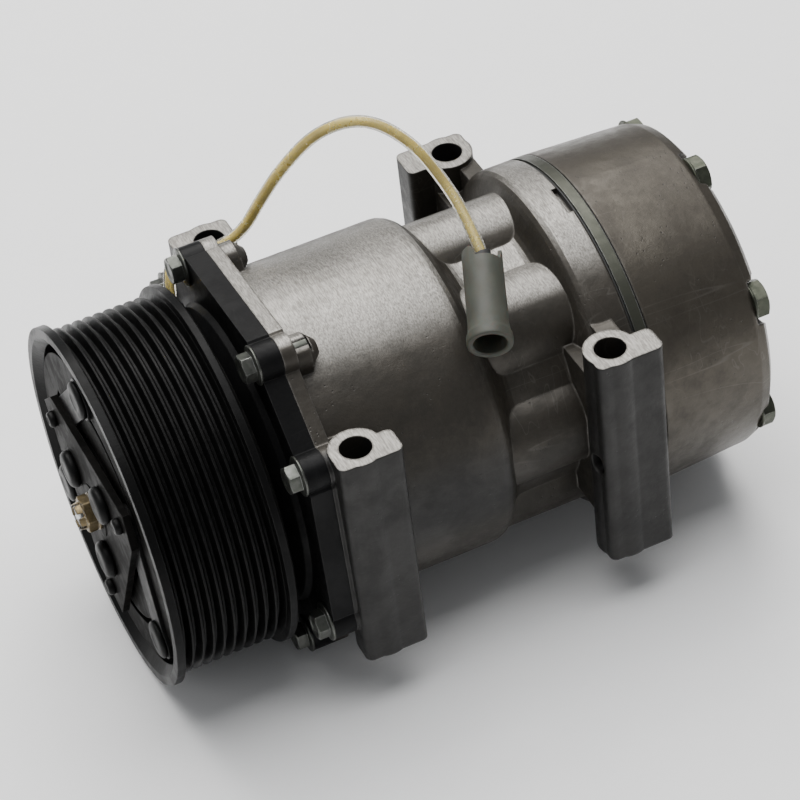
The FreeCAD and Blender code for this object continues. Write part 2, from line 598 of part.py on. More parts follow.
def build_shaft():
    s = size
    shaft = turned([
        (s("shaft_front"), 0.0), (s("shaft_front"), s("thread_radius") - 0.5),
        (s("shaft_front") + 0.5, s("thread_radius")), (s("spline_front"), s("thread_radius")),
        (s("spline_front"), s("spline_radius")), (s("journal_front"), s("spline_radius")),
        (s("journal_front") + 1.0, s("journal_radius")), (s("shaft_rear"), s("journal_radius")),
        (s("shaft_rear"), 0.0),
    ])
    keyway = block(s("spline_front") + 0.5, s("hub_rear") - 0.5, -s("keyway_half"), s("keyway_half"),
                   s("spline_radius") - s("key_depth"), s("key_top") + 2)
    cam_space = tilted_rod(-(s("plate_back") + s("cam_gap")), 40.0, 60.0)
    node("drive_shaft", cut(shaft, keyway, cam_space))

    drum = rod(s("cam_front"), s("ball_centre") + 8, s("cam_radius"))
    clearance = tilted_rod(-(s("plate_back") + s("cam_gap")), 40.0, 70.0)
    counterweight_relief = block(s("cam_front") - 1, -30.0, -60.0, 60.0, 24.0, 60.0)
    hub_bore = rod(s("cam_front") - 1, 0.0, s("journal_radius"))
    node("cam_rotor", cut(drum, clearance, hub_bore, counterweight_relief))

    bearing_top = -(s("plate_back") + 0.1)
    node("plate_thrust_bearing", cut(
        tilted_rod(-(s("plate_back") + s("cam_gap")), bearing_top, 23.0),
        tilted_rod(-30.0, 0.0, 14.0)))

    plate = tilted_rod(-s("plate_back"), s("plate_face"), s("plate_radius"))
    gear_blank = cut(tilted_rod(s("plate_face"), 4.0, 13.0), tilted_rod(-2.0, 6.0, 7.8))
    sockets = [sphere(s("pivot_radius") + s("socket_gap"), s("ball_centre")),
               tilted_rod(0.0, 10.0, s("pivot_radius") + s("socket_gap"))]
    for index in range(CYLINDERS):
        centre = on_tilt(0.0, s("rod_circle"), FIRST_CYLINDER + CYLINDER_STEP * index)
        sockets.append(sphere(s("rod_ball") + s("socket_gap"), *centre))
    node("wobble_plate", cut(plate, *sockets))
    teeth = []
    for index in range(int(SIZES["gear_teeth"])):
        tooth = doc.addObject("Part::Box", "ToothGap")
        tooth.Length, tooth.Width, tooth.Height = 3.0, 14.0, 0.9
        step = Rotation(Vector(1, 0, 0), 360.0 / SIZES["gear_teeth"] * index)
        turn = Rotation(Vector(0, 1, 0), -SIZES["tilt"]) * step
        tooth.Placement = Placement(Vector(*[value.number for value in on_tilt(2.6)]), turn)
        teeth.append(tooth)
    node("plate_gear", cut(gear_blank, *teeth))

    node("pivot_ball", sphere(s("pivot_radius"), s("ball_centre")))
    stem = turned([
        (s("ball_centre") + 4.4, 0.0), (s("ball_centre") + 4.4, s("anchor_neck")), (-20.6, s("anchor_neck")),
        (-19.4, 6.0), (-16.0, s("anchor_gear_radius")), (-12.0, s("anchor_gear_radius")),
        (-9.0, s("anchor_stem")), (s("anchor_rear"), s("anchor_stem")), (s("anchor_rear"), 0.0),
    ])
    node("anchor_gear", cut(stem, sphere(s("pivot_radius"), s("ball_centre"))))
    spring = doc.addObject("Part::Helix", "SpringLine")
    bind(spring, "Pitch", s("spring_pitch"))
    bind(spring, "Height", s("spring_pitch") * 5)
    bind(spring, "Radius", s("spring_coil"))
    start = SIZES["anchor_rear"] + 2.0
    spring.Placement = Placement(Vector(start, 0, 0), ALONG_X)
    wire = doc.addObject("Part::Circle", "SpringWire")
    bind(wire, "Radius", s("spring_wire"))
    wire.Placement = Placement(Vector(start, 0, -SIZES["spring_coil"]), Rotation(Vector(1, 0, 0), 90))
    sweep = doc.addObject("Part::Sweep", "Spring")
    sweep.Sections, sweep.Spine = [wire], (spring, [])
    sweep.Solid, sweep.Frenet = True, True
    node("anchor_spring", sweep)


def build_pistons():
    s = size
    for index in range(CYLINDERS):
        x, y, z = on_tilt(0.0, s("rod_circle"), FIRST_CYLINDER + CYLINDER_STEP * index)
        wrist = x + s("wrist_offset")
        link = fuse(sphere(s("rod_ball"), x, y, z), rod(x, wrist, 2.8, y, z),
                    sphere(s("wrist_ball"), wrist, y, z))
        node("piston_rod_%d" % (index + 1), link)
        top = x + s("piston_top")
        skirt = rod(top - s("piston_length"), top, s("piston_radius"), y, z)
        hollow = rod(top - s("piston_length") - 1, top - 15.5, 10.2, y, z)
        seat = sphere(s("wrist_ball"), wrist, y, z)
        land = s("piston_radius")
        grooves = [cut(rod(top - start, top - start + 1.8, land + 1, y, z),
                       rod(top - start, top - start + 1.8, land - 1.2, y, z)) for start in (5.0, 10.0)]
        node("piston_%d" % (index + 1), cut(skirt, hollow, seat, *grooves))


# ---------------------------------------------------------------- cylinder block and rear end

def ear(hole_x, side, x_from, x_to, depth, saddle=None):
    """One cast mounting bar: a rounded bar, a round wall about the hole and webs to the body."""
    s = size
    bottom, top, face, hole_y = s("ear_bottom"), s("ear_top"), s("ear_face"), s("hole_y")
    shapes = [
        rounded_post(block(x_from, x_to, face - depth, face, bottom, top), SIZES["ear_rounding"]),
        post(bottom, top, s("ear_wall"), hole_x, hole_y),
        block(as_size(hole_x) - s("web_half"), as_size(hole_x) + s("web_half"), s("web_root"), hole_y,
              bottom + 13.0, top - 11.0),
    ]
    if saddle:
        shapes.append(block(saddle[0], saddle[1], s("web_root") - 2.0, hole_y, bottom + 4.0, top - 2.0))
    solid = fuse(*shapes)
    if side > 0:
        return solid
    mirrored = doc.addObject("Part::Mirroring", "NearEar")
    mirrored.Source = solid
    mirrored.Normal = Vector(0, 1, 0)
    return mirrored


def block_profile():
    """The outer shape of the turned body: barrel, soft step, waist, soft shoulder and rear flange."""
    s = size
    step, shoulder = s("barrel_rear"), s("rear_flange_front")
    outline = eased([
        (s("flange_rear"), s("barrel_radius")), (step - 1.0, s("barrel_radius")), (step + 5.0, s("waist_radius")),
        (shoulder - 4.0, s("waist_radius")), (shoulder + 0.5, s("rear_flange_radius")),
        (s("block_rear") - 0.7, s("rear_flange_radius")),
    ], 4.0)
    return [(s("flange_rear"), 0.0), *outline, (s("block_rear"), s("rear_flange_radius") - 0.7),
            (s("block_rear"), 0.0)]


def build_block():
    s = size
    strip_rear = s("flange_rear") + s("block_strip")
    shell = [
        turned(block_profile()),
        prism(8, s("flange_rear"), strip_rear, s("flange_apothem") * 2, angle=FLANGE_SIDE + 22.5),
        *lugs(s("flange_rear"), strip_rear, s("lug_radius"), 50.0),
    ]
    for angle in LUG_ANGLES:
        y, z = around(s("lug_circle") - 3.2, angle)
        shell.append(rod(s("flange_rear"), s("boss_rear") - 3.5, s("lug_radius") - 0.2, y, z))
        shell.append(cone(s("boss_rear") - 3.5, s("boss_rear"), s("lug_radius") - 0.2, 2.6, y, z))
        shell.append(spoke(s("flange_rear"), s("boss_rear") - 3.0, 50.0, s("lug_circle") - 3.2, 12.2, angle))
    cylinder_circle = s("rod_circle") * ((1 + math.cos(math.radians(SIZES["tilt"]))) / 2)
    bores = []
    for index in range(CYLINDERS):
        y, z = around(cylinder_circle, FIRST_CYLINDER + CYLINDER_STEP * index)
        shell.append(rod(s("bulge_front"), s("bulge_rear"), s("bulge_radius"), y, z))
        bores.append(rod(s("crank_rear") - 1, s("block_rear") + 1, s("bore_radius"), y, z))
    hole = s("hole_x")
    ears = [
        ear(-hole, -1, -52.4, -30.8, 10.5),
        ear(-hole, 1, -56.0, -35.0, 12.5),
        ear(hole, -1, 35.8, 58.8, 10.5, saddle=(44.5, 51.5)),
        ear(hole, 1, 27.7, 52.0, 12.5, saddle=(44.5, 51.0)),
    ]
    tools = [rod(s("flange_rear") - 1, s("crank_rear"), s("crank_radius")), rod(s("crank_rear") - 1, 42.0, 9.05)]
    for side_x in (-hole, hole):
        for side_y in (-s("hole_y"), s("hole_y")):
            tools.append(post(s("ear_bottom") - 1, s("ear_top") + 1, s("hole_radius"), side_x, side_y))
    for angle in LUG_ANGLES:
        y, z = around(s("lug_circle"), angle)
        tools.append(rod(s("flange_rear") - 1, bolt_tip(angle) + 0.2, s("front_bolt_radius"), y, z))
    for angle in HEAD_BOLT_ANGLES:
        y, z = around(s("head_bolt_circle"), angle)
        tools.append(rod(head_bolt_tip(angle) - 0.2, s("block_rear") + 1, s("head_bolt_radius"), y, z))
    tools.append(spoke(s("block_rear") - s("notch_depth"), s("block_rear") + 1, s("rear_flange_radius") - 3.0,
                       s("rear_flange_radius") + 10, 12.0, NOTCH_ANGLE))
    cross_hole = rod(35.0, 45.0, 3.6, -61.0, -3.0)
    plate_room = rod(s("block_rear"), s("block_rear") + 3, s("rear_flange_radius") + 0.5)
    flange_room = rod(s("flange_rear") - 6, s("flange_rear"), s("lug_circle") + s("lug_radius") + 0.9)
    node("cylinder_block", cut(fuse(*shell, *ears), *tools, *bores, cross_hole, plate_room, flange_room))


def ported_disc(x_from, x_to, outer, discharge=2.6, suction=3.4, bolted=False):
    """A disc with one discharge hole and one suction hole for each cylinder, and holes for the head bolts."""
    s = size
    holes = []
    for index in range(CYLINDERS):
        angle = FIRST_CYLINDER + CYLINDER_STEP * index
        for radius, circle in ((discharge, s("discharge_circle")), (suction, s("suction_circle"))):
            if radius:
                y, z = around(circle, angle)
                holes.append(rod(as_size(x_from) - 1, as_size(x_to) + 1, radius, y, z))
        if bolted:
            y, z = around(s("head_bolt_circle"), HEAD_BOLT_ANGLES[index])
            holes.append(rod(as_size(x_from) - 1, as_size(x_to) + 1, s("head_bolt_radius") + 0.3, y, z))
    return cut(rod(x_from, x_to, outer), *holes)


def build_rear_end():
    s = size
    holes, bores = [], []
    for index in range(CYLINDERS):
        y, z = around(s("head_bolt_circle"), HEAD_BOLT_ANGLES[index])
        holes.append(rod(s("block_rear") - 1, s("gasket_rear") + 1, s("head_bolt_radius") + 0.3, y, z))
        y, z = around(s("bore_circle"), FIRST_CYLINDER + CYLINDER_STEP * index)
        bores.append(rod(s("block_rear") - 1, s("block_rear") + 2, s("bore_radius"), y, z))
    node("block_gasket", cut(rod(s("block_rear"), s("block_rear") + 0.6, 58.2), *holes, *bores))
    reeds_rear = s("block_rear") + 0.9
    node("suction_reeds", ported_disc(s("block_rear") + 0.6, reeds_rear, s("reed_disc_radius"), suction=0.0))
    valve_plate = cut(ported_disc(s("block_rear") + 0.6, s("plate_rear"), 59.0, bolted=True),
                      rod(s("block_rear"), reeds_rear, s("reed_disc_radius") + 0.1))
    node("valve_plate", valve_plate)
    petals = [spoke(s("plate_rear"), s("plate_rear") + 0.4, 10.0, 31.0, 7.0, FIRST_CYLINDER + CYLINDER_STEP * k)
              for k in range(CYLINDERS)]
    node("discharge_reeds", fuse(rod(s("plate_rear"), s("plate_rear") + 0.4, 16.0), *petals))
    node("head_gasket", fuse(
        cut(ring(s("plate_rear"), s("gasket_rear"), s("gasket_radius"), s("chamber_outer")), *holes),
        ring(s("plate_rear"), s("gasket_rear"), s("chamber_inner"), s("chamber_core"))))

    shell = turned([
        (s("gasket_rear"), 0.0), (s("gasket_rear"), s("head_front_radius")),
        (s("head_rear") - 5.5, s("head_rear_radius")), (s("head_rear") - 2.0, s("head_rear_radius") - 1.2),
        (s("head_rear"), s("head_rear_radius") - 4.2), (s("head_rear"), 0.0),
    ])
    pad = block(s("head_rear") - 1, s("port_pad"), -36.0, 36.0, s("port_z") - 14.0, s("port_z") + 14.0)
    tools = [
        ring(s("gasket_rear") - 1, 92.0, s("chamber_outer"), s("chamber_inner")),
        rod(s("gasket_rear") - 1, 90.0, s("chamber_core")),
        rod(80.0, s("port_pad") + 1, s("discharge_radius"), s("port_y"), s("port_z")),
        rod(95.0, s("port_pad") + 1, s("suction_radius"), -s("port_y"), s("port_z")),
        block(86.0, 96.0, -42.0, -s("port_y") + 6, s("port_z") - 5.0, s("port_z") + 5.0),
        rod(94.0, s("port_pad") + 1, s("clamp_thread"), 0.0, s("port_z")),
    ]
    bolts = []
    seat = s("bolt_seat")
    top = seat + s("head_bolt_head")
    for index, angle in enumerate(HEAD_BOLT_ANGLES):
        y, z = around(s("head_bolt_circle"), angle)
        tools.append(rod(s("gasket_rear") - 1, s("head_rear") + 1, s("head_bolt_radius") + 0.3, y, z))
        tools.append(rod(seat, s("port_pad") + 1, s("head_bolt_washer") + 1.6, y, z))
        bolts.append(fuse(
            rod(head_bolt_tip(angle), seat, s("head_bolt_radius"), y, z),
            rod(seat, seat + 0.9, s("head_bolt_washer"), y, z),
            hexagon(seat + 0.9, top - 0.5, s("head_bolt_flats"), y, z, angle=23.0 * index),
            cone(top - 0.5, top, s("head_bolt_flats") * 0.5, s("head_bolt_flats") * 0.43, y, z)))
    node("rear_head", cut(fuse(shell, pad), *tools))
    node("head_bolts", group(*bolts))


# ---------------------------------------------------------------- coil lead

LEAD_ROUTE = [
    Vector(-66.0, 36.4, 38.0), Vector(-64.0, 45.0, 46.9), Vector(-56.0, 46.6, 48.2), Vector(-45.0, 45.6, 46.6),
    Vector(-36.2, 43.6, 51.4), Vector(-30.4, 40.2, 63.0), Vector(-22.6, 36.0, 76.5), Vector(-11.0, 29.0, 91.5),
    Vector(2.2, 20.0, 97.0), Vector(13.6, 11.4, 88.0), Vector(19.6, 3.0, 75.0), Vector(20.9, -8.8, 68.2),
    Vector(19.9, -20.2, 62.2),
]


def rounded_path(route):
    """Straight runs joined by tangent arcs, each as large as its two runs allow."""
    edges, start, length = [], route[0], 0.0
    for before, corner, after in zip(route, route[1:], route[2:]):
        arriving, leaving = (corner - before), (after - corner)
        run = min(arriving.Length, leaving.Length)
        into, out = Vector(arriving).normalize(), Vector(leaving).normalize()
        half_turn = math.acos(max(-1.0, min(1.0, into.dot(out)))) / 2
        radius = 0.45 * run / math.tan(half_turn)
        first, last = corner - into * (0.45 * run), corner + out * (0.45 * run)
        middle = (first + last) * 0.5
        towards = (middle - corner).normalize()
        centre_gap = radius / math.cos(half_turn)
        through = corner + towards * (centre_gap - radius)
        edges += [Part.LineSegment(start, first).toShape(), Part.Arc(first, through, last).toShape()]
        length += (first - start).Length + 2 * half_turn * radius
        print("lead corner radius %.1f mm, turn %.0f degrees" % (radius, math.degrees(2 * half_turn)))
        start = last
    edges.append(Part.LineSegment(start, route[-1]).toShape())
    length += (route[-1] - start).Length
    return Part.Wire(edges), length


CONNECTOR_MOUTH = Vector(6.98, -50.81, 52.89)        # it points from the lead's end towards here


def in_connector(obj):
    """Put a piece in the connector's own frame, whose Z runs from the mouth to the wire's end."""
    axis = (LEAD_ROUTE[-1] - CONNECTOR_MOUTH).normalize()
    frame = Placement(LEAD_ROUTE[-1] - axis * SIZES["connector_length"], Rotation(Vector(0, 0, 1), axis))
    obj.Placement = frame.multiply(obj.Placement)
    return obj


def local_post(z_from, z_to, radius, top_radius=None):
    """A cylinder or cone along Z."""
    obj = doc.addObject("Part::Cone" if top_radius else "Part::Cylinder", "LocalPost")
    if top_radius:
        bind(obj, "Radius1", radius)
        bind(obj, "Radius2", top_radius)
    else:
        bind(obj, "Radius", radius)
    bind(obj, "Height", as_size(z_to) - z_from)
    bind(obj, "Placement.Base.z", z_from)
    return obj


def build_connector():
    """The housing is open at its mouth; its back has two horns with the wire's seal between them."""
    s = size
    back, hole, bore = s("connector_length"), s("connector_hole"), s("connector_bore")
    lip_end = s("lip_length") + 3.0
    shell = fuse(
        local_post(s("mouth"), s("lip_length"), s("connector_lip")),
        local_post(s("lip_length"), lip_end, s("connector_lip"), s("connector_outer")),
        local_post(lip_end, back, s("connector_outer")))
    slot = doc.addObject("Part::Box", "HornSlot")
    slot.Length, slot.Width, slot.Height = 6.4, 20.0, 6.0
    slot.Placement = Placement(Vector(-slot.Length.Value / 2, -slot.Width.Value / 2, 0), Rotation())
    bind(slot, "Placement.Base.z", back - s("horn_height"))
    node("connector_housing", in_connector(cut(
        shell, local_post(s("mouth") - 1, back - s("wall_depth"), bore),
        local_post(back - s("wall_depth") - 1, back + 1, hole), slot)))
    node("connector_terminal", in_connector(fuse(
        local_post(s("mouth") + 7, back - s("wall_depth"), s("pin_radius")),
        local_post(back - s("wall_depth"), back - s("seal_depth"), 2.5))))

    wire_room = doc.addObject("Part::Cylinder", "WireRoom")
    wire_room.Radius, wire_room.Height = 5.0, 5.0
    wire_room.Placement = Placement(
        LEAD_ROUTE[-1], Rotation(Vector(0, 0, 1), (LEAD_ROUTE[-2] - LEAD_ROUTE[-1]).normalize()))
    plug = in_connector(group(local_post(back - s("seal_depth"), back + 1, hole)))
    node("wire_seal", cut(plug, wire_room))


def build_lead():
    path, length = rounded_path(LEAD_ROUTE)
    radius = SIZES["sleeve_radius"]
    start_direction = (LEAD_ROUTE[1] - LEAD_ROUTE[0]).normalize()
    section = Part.Wire([Part.Circle(LEAD_ROUTE[0], start_direction, radius).toShape()])
    tube = path.makePipeShell([section], True, True)
    lead = doc.addObject("Part::Feature", "Lead")
    lead.Shape = tube
    node("lead_wire", lead)
    print("lead length %.1f mm, volume %.1f, section x length %.1f"
          % (length, tube.Volume, math.pi * radius ** 2 * length))

    grommet = doc.addObject("Part::Cylinder", "Grommet")
    grommet.Radius, grommet.Height = 3.6, 6.0
    grommet.Placement = Placement(LEAD_ROUTE[0] - start_direction * 6.0,
                                  Rotation(Vector(0, 0, 1), start_direction))
    node("lead_grommet", cut(grommet, *grommet_neighbours()))


def grommet_neighbours():
    """What the grommet is trimmed to: the coil housing, the front housing and the pulley's path."""
    s = size
    return [ring(s("coil_front"), s("coil_rear"), s("coil_outer"), s("coil_seat")),
            cone(s("bowl_front"), s("bowl_front") + 4.5, 43.5, 50.5),
            rod(s("bowl_front") + 4.5, s("flange_rear"), 62.0), rod(s("rim_rear") - 1, -69.4, 70.0)]


def finish():
    doc.recompute()
    for obj in doc.Objects:
        broken = [word for word in obj.State if word in ("Invalid", "Error")]
        if broken:
            raise RuntimeError("%s (%s) is %s" % (obj.Name, obj.Label, broken))
    os.makedirs("parts", exist_ok=True)
    for obj in nodes:
        shape = obj.Shape
        if shape.isNull() or not shape.isValid() or not shape.Solids:
            raise RuntimeError("%s has no valid solid" % obj.Label)
        shape.exportStep("parts/%s.step" % obj.Label)
    print("%d pieces" % len(nodes))


write_sheet()
build_pulley()
build_bearing()
circlip("bearing_circlip", size("race_rear") + 0.15, 25.8, 28.6)
circlip("nose_circlip", size("race_front") - 1.35, 16.4, 19.2)
build_coil()
circlip("coil_circlip", size("coil_circlip_front"), 22.9, 26.0)
build_armature()
build_hub()
build_front_housing()
build_shaft()
build_pistons()
build_block()
build_rear_end()
build_lead()
build_connector()
finish()
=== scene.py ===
"""Belt-driven air conditioning compressor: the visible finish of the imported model.

A seven-cylinder wobble-plate compressor with an electromagnetic clutch. The
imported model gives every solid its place; this script gives each one its finish,
and puts finer pieces where a plain solid is too simple: the hexagon bolts, the
clutch nut, the domed rivets, the coil lead with its clear sleeve, and the nylon
connector. Lengths are in metres. X runs along the shaft towards the rear, Z up.
"""
import logging
import math
from dataclasses import dataclass, field
from enum import Enum
from typing import Callable, Sequence

import bmesh
import bpy
import numpy as np
from mathutils import Matrix, Vector

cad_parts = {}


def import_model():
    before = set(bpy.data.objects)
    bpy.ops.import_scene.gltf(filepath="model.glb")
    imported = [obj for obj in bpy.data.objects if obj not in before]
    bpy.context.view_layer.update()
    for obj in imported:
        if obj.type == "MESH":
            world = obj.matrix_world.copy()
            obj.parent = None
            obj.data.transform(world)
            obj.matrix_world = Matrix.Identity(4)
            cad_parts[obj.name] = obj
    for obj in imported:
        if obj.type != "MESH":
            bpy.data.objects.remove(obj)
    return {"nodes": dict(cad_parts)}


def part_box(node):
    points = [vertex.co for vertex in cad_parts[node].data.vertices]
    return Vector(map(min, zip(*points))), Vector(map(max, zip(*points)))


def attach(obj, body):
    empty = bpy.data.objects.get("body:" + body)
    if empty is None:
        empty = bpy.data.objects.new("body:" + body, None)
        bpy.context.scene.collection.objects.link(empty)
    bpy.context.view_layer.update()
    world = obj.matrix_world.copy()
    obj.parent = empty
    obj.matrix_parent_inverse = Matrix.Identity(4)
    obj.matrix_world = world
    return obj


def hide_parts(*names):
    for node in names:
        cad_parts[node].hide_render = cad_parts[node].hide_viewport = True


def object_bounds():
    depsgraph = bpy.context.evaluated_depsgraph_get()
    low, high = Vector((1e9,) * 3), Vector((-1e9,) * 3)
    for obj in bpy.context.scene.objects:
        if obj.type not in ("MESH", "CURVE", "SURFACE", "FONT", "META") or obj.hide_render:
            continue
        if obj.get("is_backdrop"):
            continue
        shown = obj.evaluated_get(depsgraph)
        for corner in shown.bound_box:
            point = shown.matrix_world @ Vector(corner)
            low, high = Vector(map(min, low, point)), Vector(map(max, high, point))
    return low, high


LOG = logging.getLogger("compressor")
MM = 0.001
CYLINDERS = 7

Colour = tuple[float, float, float]
Socket = bpy.types.NodeSocket
Value = Socket | float | Colour
Row = np.ndarray | float

FORWARD = Vector((-1, 0, 0))
REARWARD = Vector((1, 0, 0))


class Body(Enum):
    """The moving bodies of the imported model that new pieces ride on."""

    HOUSING = "housing"
    SHAFT = "shaft"
    ARMATURE = "armature"


# --------------------------------------------------------------------------
# shader graphs


def grey(level: float) -> Colour:
    """A neutral colour of one level."""
    return (level, level, level)


class Graph:
    """A small builder over one shader node tree."""

    def __init__(self, tree: bpy.types.NodeTree) -> None:
        """Start on a tree.

        Args:
            tree: the node tree that the nodes are added to.
        """
        self.tree = tree

    def add(self, kind: str, values: dict[int | str, Value] | None = None,
            **settings: object) -> bpy.types.Node:
        """Add one node.

        Args:
            kind: node type, without the "ShaderNode" in front.
            values: input name or number to a constant or to a socket.
            settings: properties of the node itself.

        Returns:
            The new node.
        """
        node = self.tree.nodes.new("ShaderNode" + kind)
        for name, value in settings.items():
            setattr(node, name, value)
        for key, value in (values or {}).items():
            self.feed(node.inputs[key], value)
        return node

    def feed(self, socket: Socket, value: Value) -> None:
        """Link a socket, or set it, with an alpha added to a plain colour.

        Args:
            socket: the input to fill.
            value: another node's output, or a constant.
        """
        if isinstance(value, bpy.types.NodeSocket):
            self.tree.links.new(value, socket)
        elif isinstance(value, tuple) and socket.type == "RGBA":
            socket.default_value = (*value, 1.0)
        else:
            socket.default_value = value

    def math(self, operation: str, *values: Value, clamp: bool = False) -> Socket:
        """A Math node on one to three values."""
        node = self.add("Math", dict(enumerate(values)), operation=operation, use_clamp=clamp)
        return node.outputs[0]

    def blend(self, factor: Value, first: Value, second: Value) -> Socket:
        """Mix two colours by a factor from 0 to 1."""
        node = self.add("Mix", {0: factor, 6: first, 7: second}, data_type="RGBA", clamp_factor=True)
        return node.outputs[2]

    def span(self, value: Value, low: float, high: float, to_low: float = 0.0,
             to_high: float = 1.0) -> Socket:
        """Map low...high onto to_low...to_high with a smooth ramp, held at both ends."""
        node = self.add("MapRange", {0: value, 1: low, 2: high, 3: to_low, 4: to_high},
                        interpolation_type="SMOOTHSTEP")
        return node.outputs[0]

    def noise(self, place: Socket, scale: Value, detail: float = 3.0, rough: float = 0.55,
              warp: float = 0.0) -> Socket:
        """Three-dimensional noise, about 0.5 on average."""
        node = self.add("TexNoise", {"Vector": place, "Scale": scale, "Detail": detail,
                                     "Roughness": rough, "Distortion": warp})
        return node.outputs[0]

    def object_point(self) -> Socket:
        """The surface point in the object's own coordinates, in metres."""
        return self.add("TexCoord").outputs["Object"]

    def coordinate(self, axis: int) -> Socket:
        """One coordinate of the surface point: 0 is X, 1 is Y and 2 is Z."""
        return self.add("SeparateXYZ", {0: self.object_point()}).outputs[axis]

    def facing_up(self) -> Socket:
        """How far the surface faces up, from -1 to 1."""
        return self.add("SeparateXYZ", {0: self.add("NewGeometry").outputs["Normal"]}).outputs[2]


@dataclass
class Effect:
    """A shared shader node group, made once and placed in many materials."""

    name: str
    inputs: dict[str, float]
    outputs: dict[str, str]
    build: Callable[[Graph, bpy.types.Node, bpy.types.Node], None]
    tree: bpy.types.NodeTree | None = None

    def group(self) -> bpy.types.NodeTree:
        """The node group itself, made at its first use.

        Returns:
            The group's tree.
        """
        if self.tree is None:
            self.tree = bpy.data.node_groups.new(self.name, "ShaderNodeTree")
            for label, start in self.inputs.items():
                socket = self.tree.interface.new_socket(label, in_out="INPUT", socket_type="NodeSocketFloat")
                socket.default_value = start
            for label, kind in self.outputs.items():
                self.tree.interface.new_socket(label, in_out="OUTPUT", socket_type=kind)
            graph = Graph(self.tree)
            self.build(graph, self.tree.nodes.new("NodeGroupInput"), self.tree.nodes.new("NodeGroupOutput"))
        return self.tree

    def use(self, graph: Graph, **values: Value) -> dict[str, Socket]:
        """Place the group in a material.

        Args:
            graph: the material's graph.
            values: input values; an underscore stands for a space.

        Returns:
            Output name to socket.
        """
        node = graph.tree.nodes.new("ShaderNodeGroup")
        node.node_tree = self.group()
        for name, value in values.items():
            graph.feed(node.inputs[name.replace("_", " ")], value)
        return {socket.name: socket for socket in node.outputs}


FLOAT, NORMAL = "NodeSocketFloat", "NodeSocketVector"


def build_edge_wear(g: Graph, source: bpy.types.Node, sink: bpy.types.Node) -> None:
    """Edges, found where a rounded normal departs from the true one, broken up by noise.

    Args:
        g: the group's graph.
        source: its input node.
        sink: its output node.
    """
    soft = g.add("Bevel", {"Radius": source.outputs["Radius"]}, samples=6)
    true = g.add("NewGeometry")
    agree = g.add("VectorMath", {0: soft.outputs[0], 1: true.outputs["Normal"]}, operation="DOT_PRODUCT")
    edge = g.math("MULTIPLY", g.math("SUBTRACT", 1.0, agree.outputs["Value"]), source.outputs["Gain"])
    torn = g.noise(g.object_point(), source.outputs["Breakup"], 4.0, 0.65)
    torn = g.span(torn, 0.32, 0.68, 0.15, 1.3)
    g.feed(sink.inputs["Mask"], g.math("MULTIPLY", edge, torn, clamp=True))
    g.feed(sink.inputs["Normal"], soft.outputs[0])


def build_mottle(g: Graph, source: bpy.types.Node, sink: bpy.types.Node) -> None:
    """Cloudy stains at two sizes, stretched to the full range.

    Args:
        g: the group's graph.
        source: its input node.
        sink: its output node.
    """
    point = g.object_point()
    scale = source.outputs["Scale"]
    broad = g.noise(point, scale, 4.0, 0.6, 0.6)
    fine = g.noise(point, g.math("MULTIPLY", scale, 5.3), 3.0, 0.6)
    both = g.math("ADD", g.math("MULTIPLY", broad, 0.7), g.math("MULTIPLY", fine, 0.3))
    g.feed(sink.inputs["Mask"], g.span(both, 0.38, 0.62))


def build_cast_skin(g: Graph, source: bpy.types.Node, sink: bpy.types.Node) -> None:
    """The sandy skin of a die casting: soft dimples, fine grit and scattered pits.

    Args:
        g: the group's graph.
        source: its input node.
        sink: its output node.
    """
    point = g.object_point()
    scale = source.outputs["Scale"]
    swell = g.noise(point, g.math("MULTIPLY", scale, 0.16), 2.0)
    grit = g.noise(point, scale, 4.0, 0.7)
    cells = g.add("TexVoronoi", {"Vector": point, "Scale": g.math("MULTIPLY", scale, 0.35)})
    chance = g.noise(point, g.math("MULTIPLY", scale, 0.06), 2.0)
    pit = g.math("MULTIPLY", g.span(cells.outputs["Distance"], 0.0, 0.22, 1.0, 0.0),
                 g.span(chance, 0.52, 0.6))
    height = g.math("ADD", g.math("MULTIPLY", grit, 0.45), g.math("MULTIPLY", swell, 1.2))
    g.feed(sink.inputs["Height"], g.math("SUBTRACT", height, g.math("MULTIPLY", pit, 0.9)))
    g.feed(sink.inputs["Pits"], pit)


def build_turning(g: Graph, source: bpy.types.Node, sink: bpy.types.Node) -> None:
    """Lathe marks about the shaft axis: noise of radius and station, nearly constant round the axis.

    Args:
        g: the group's graph.
        source: its input node.
        sink: its output node.
    """
    parts = g.add("SeparateXYZ", {0: g.object_point()})
    x, y, z = parts.outputs
    radius = g.math("SQRT", g.math("ADD", g.math("MULTIPLY", y, y), g.math("MULTIPLY", z, z)))
    angle = g.math("ARCTAN2", z, y)
    lines = g.add("CombineXYZ", {0: g.math("MULTIPLY", g.math("ADD", radius, g.math("MULTIPLY", x, 1.37)),
                                           source.outputs["Lines"]),
                                 1: g.math("MULTIPLY", angle, source.outputs["Wander"])})
    g.feed(sink.inputs["Height"], g.noise(lines.outputs[0], 1.0, 3.0, 0.7))


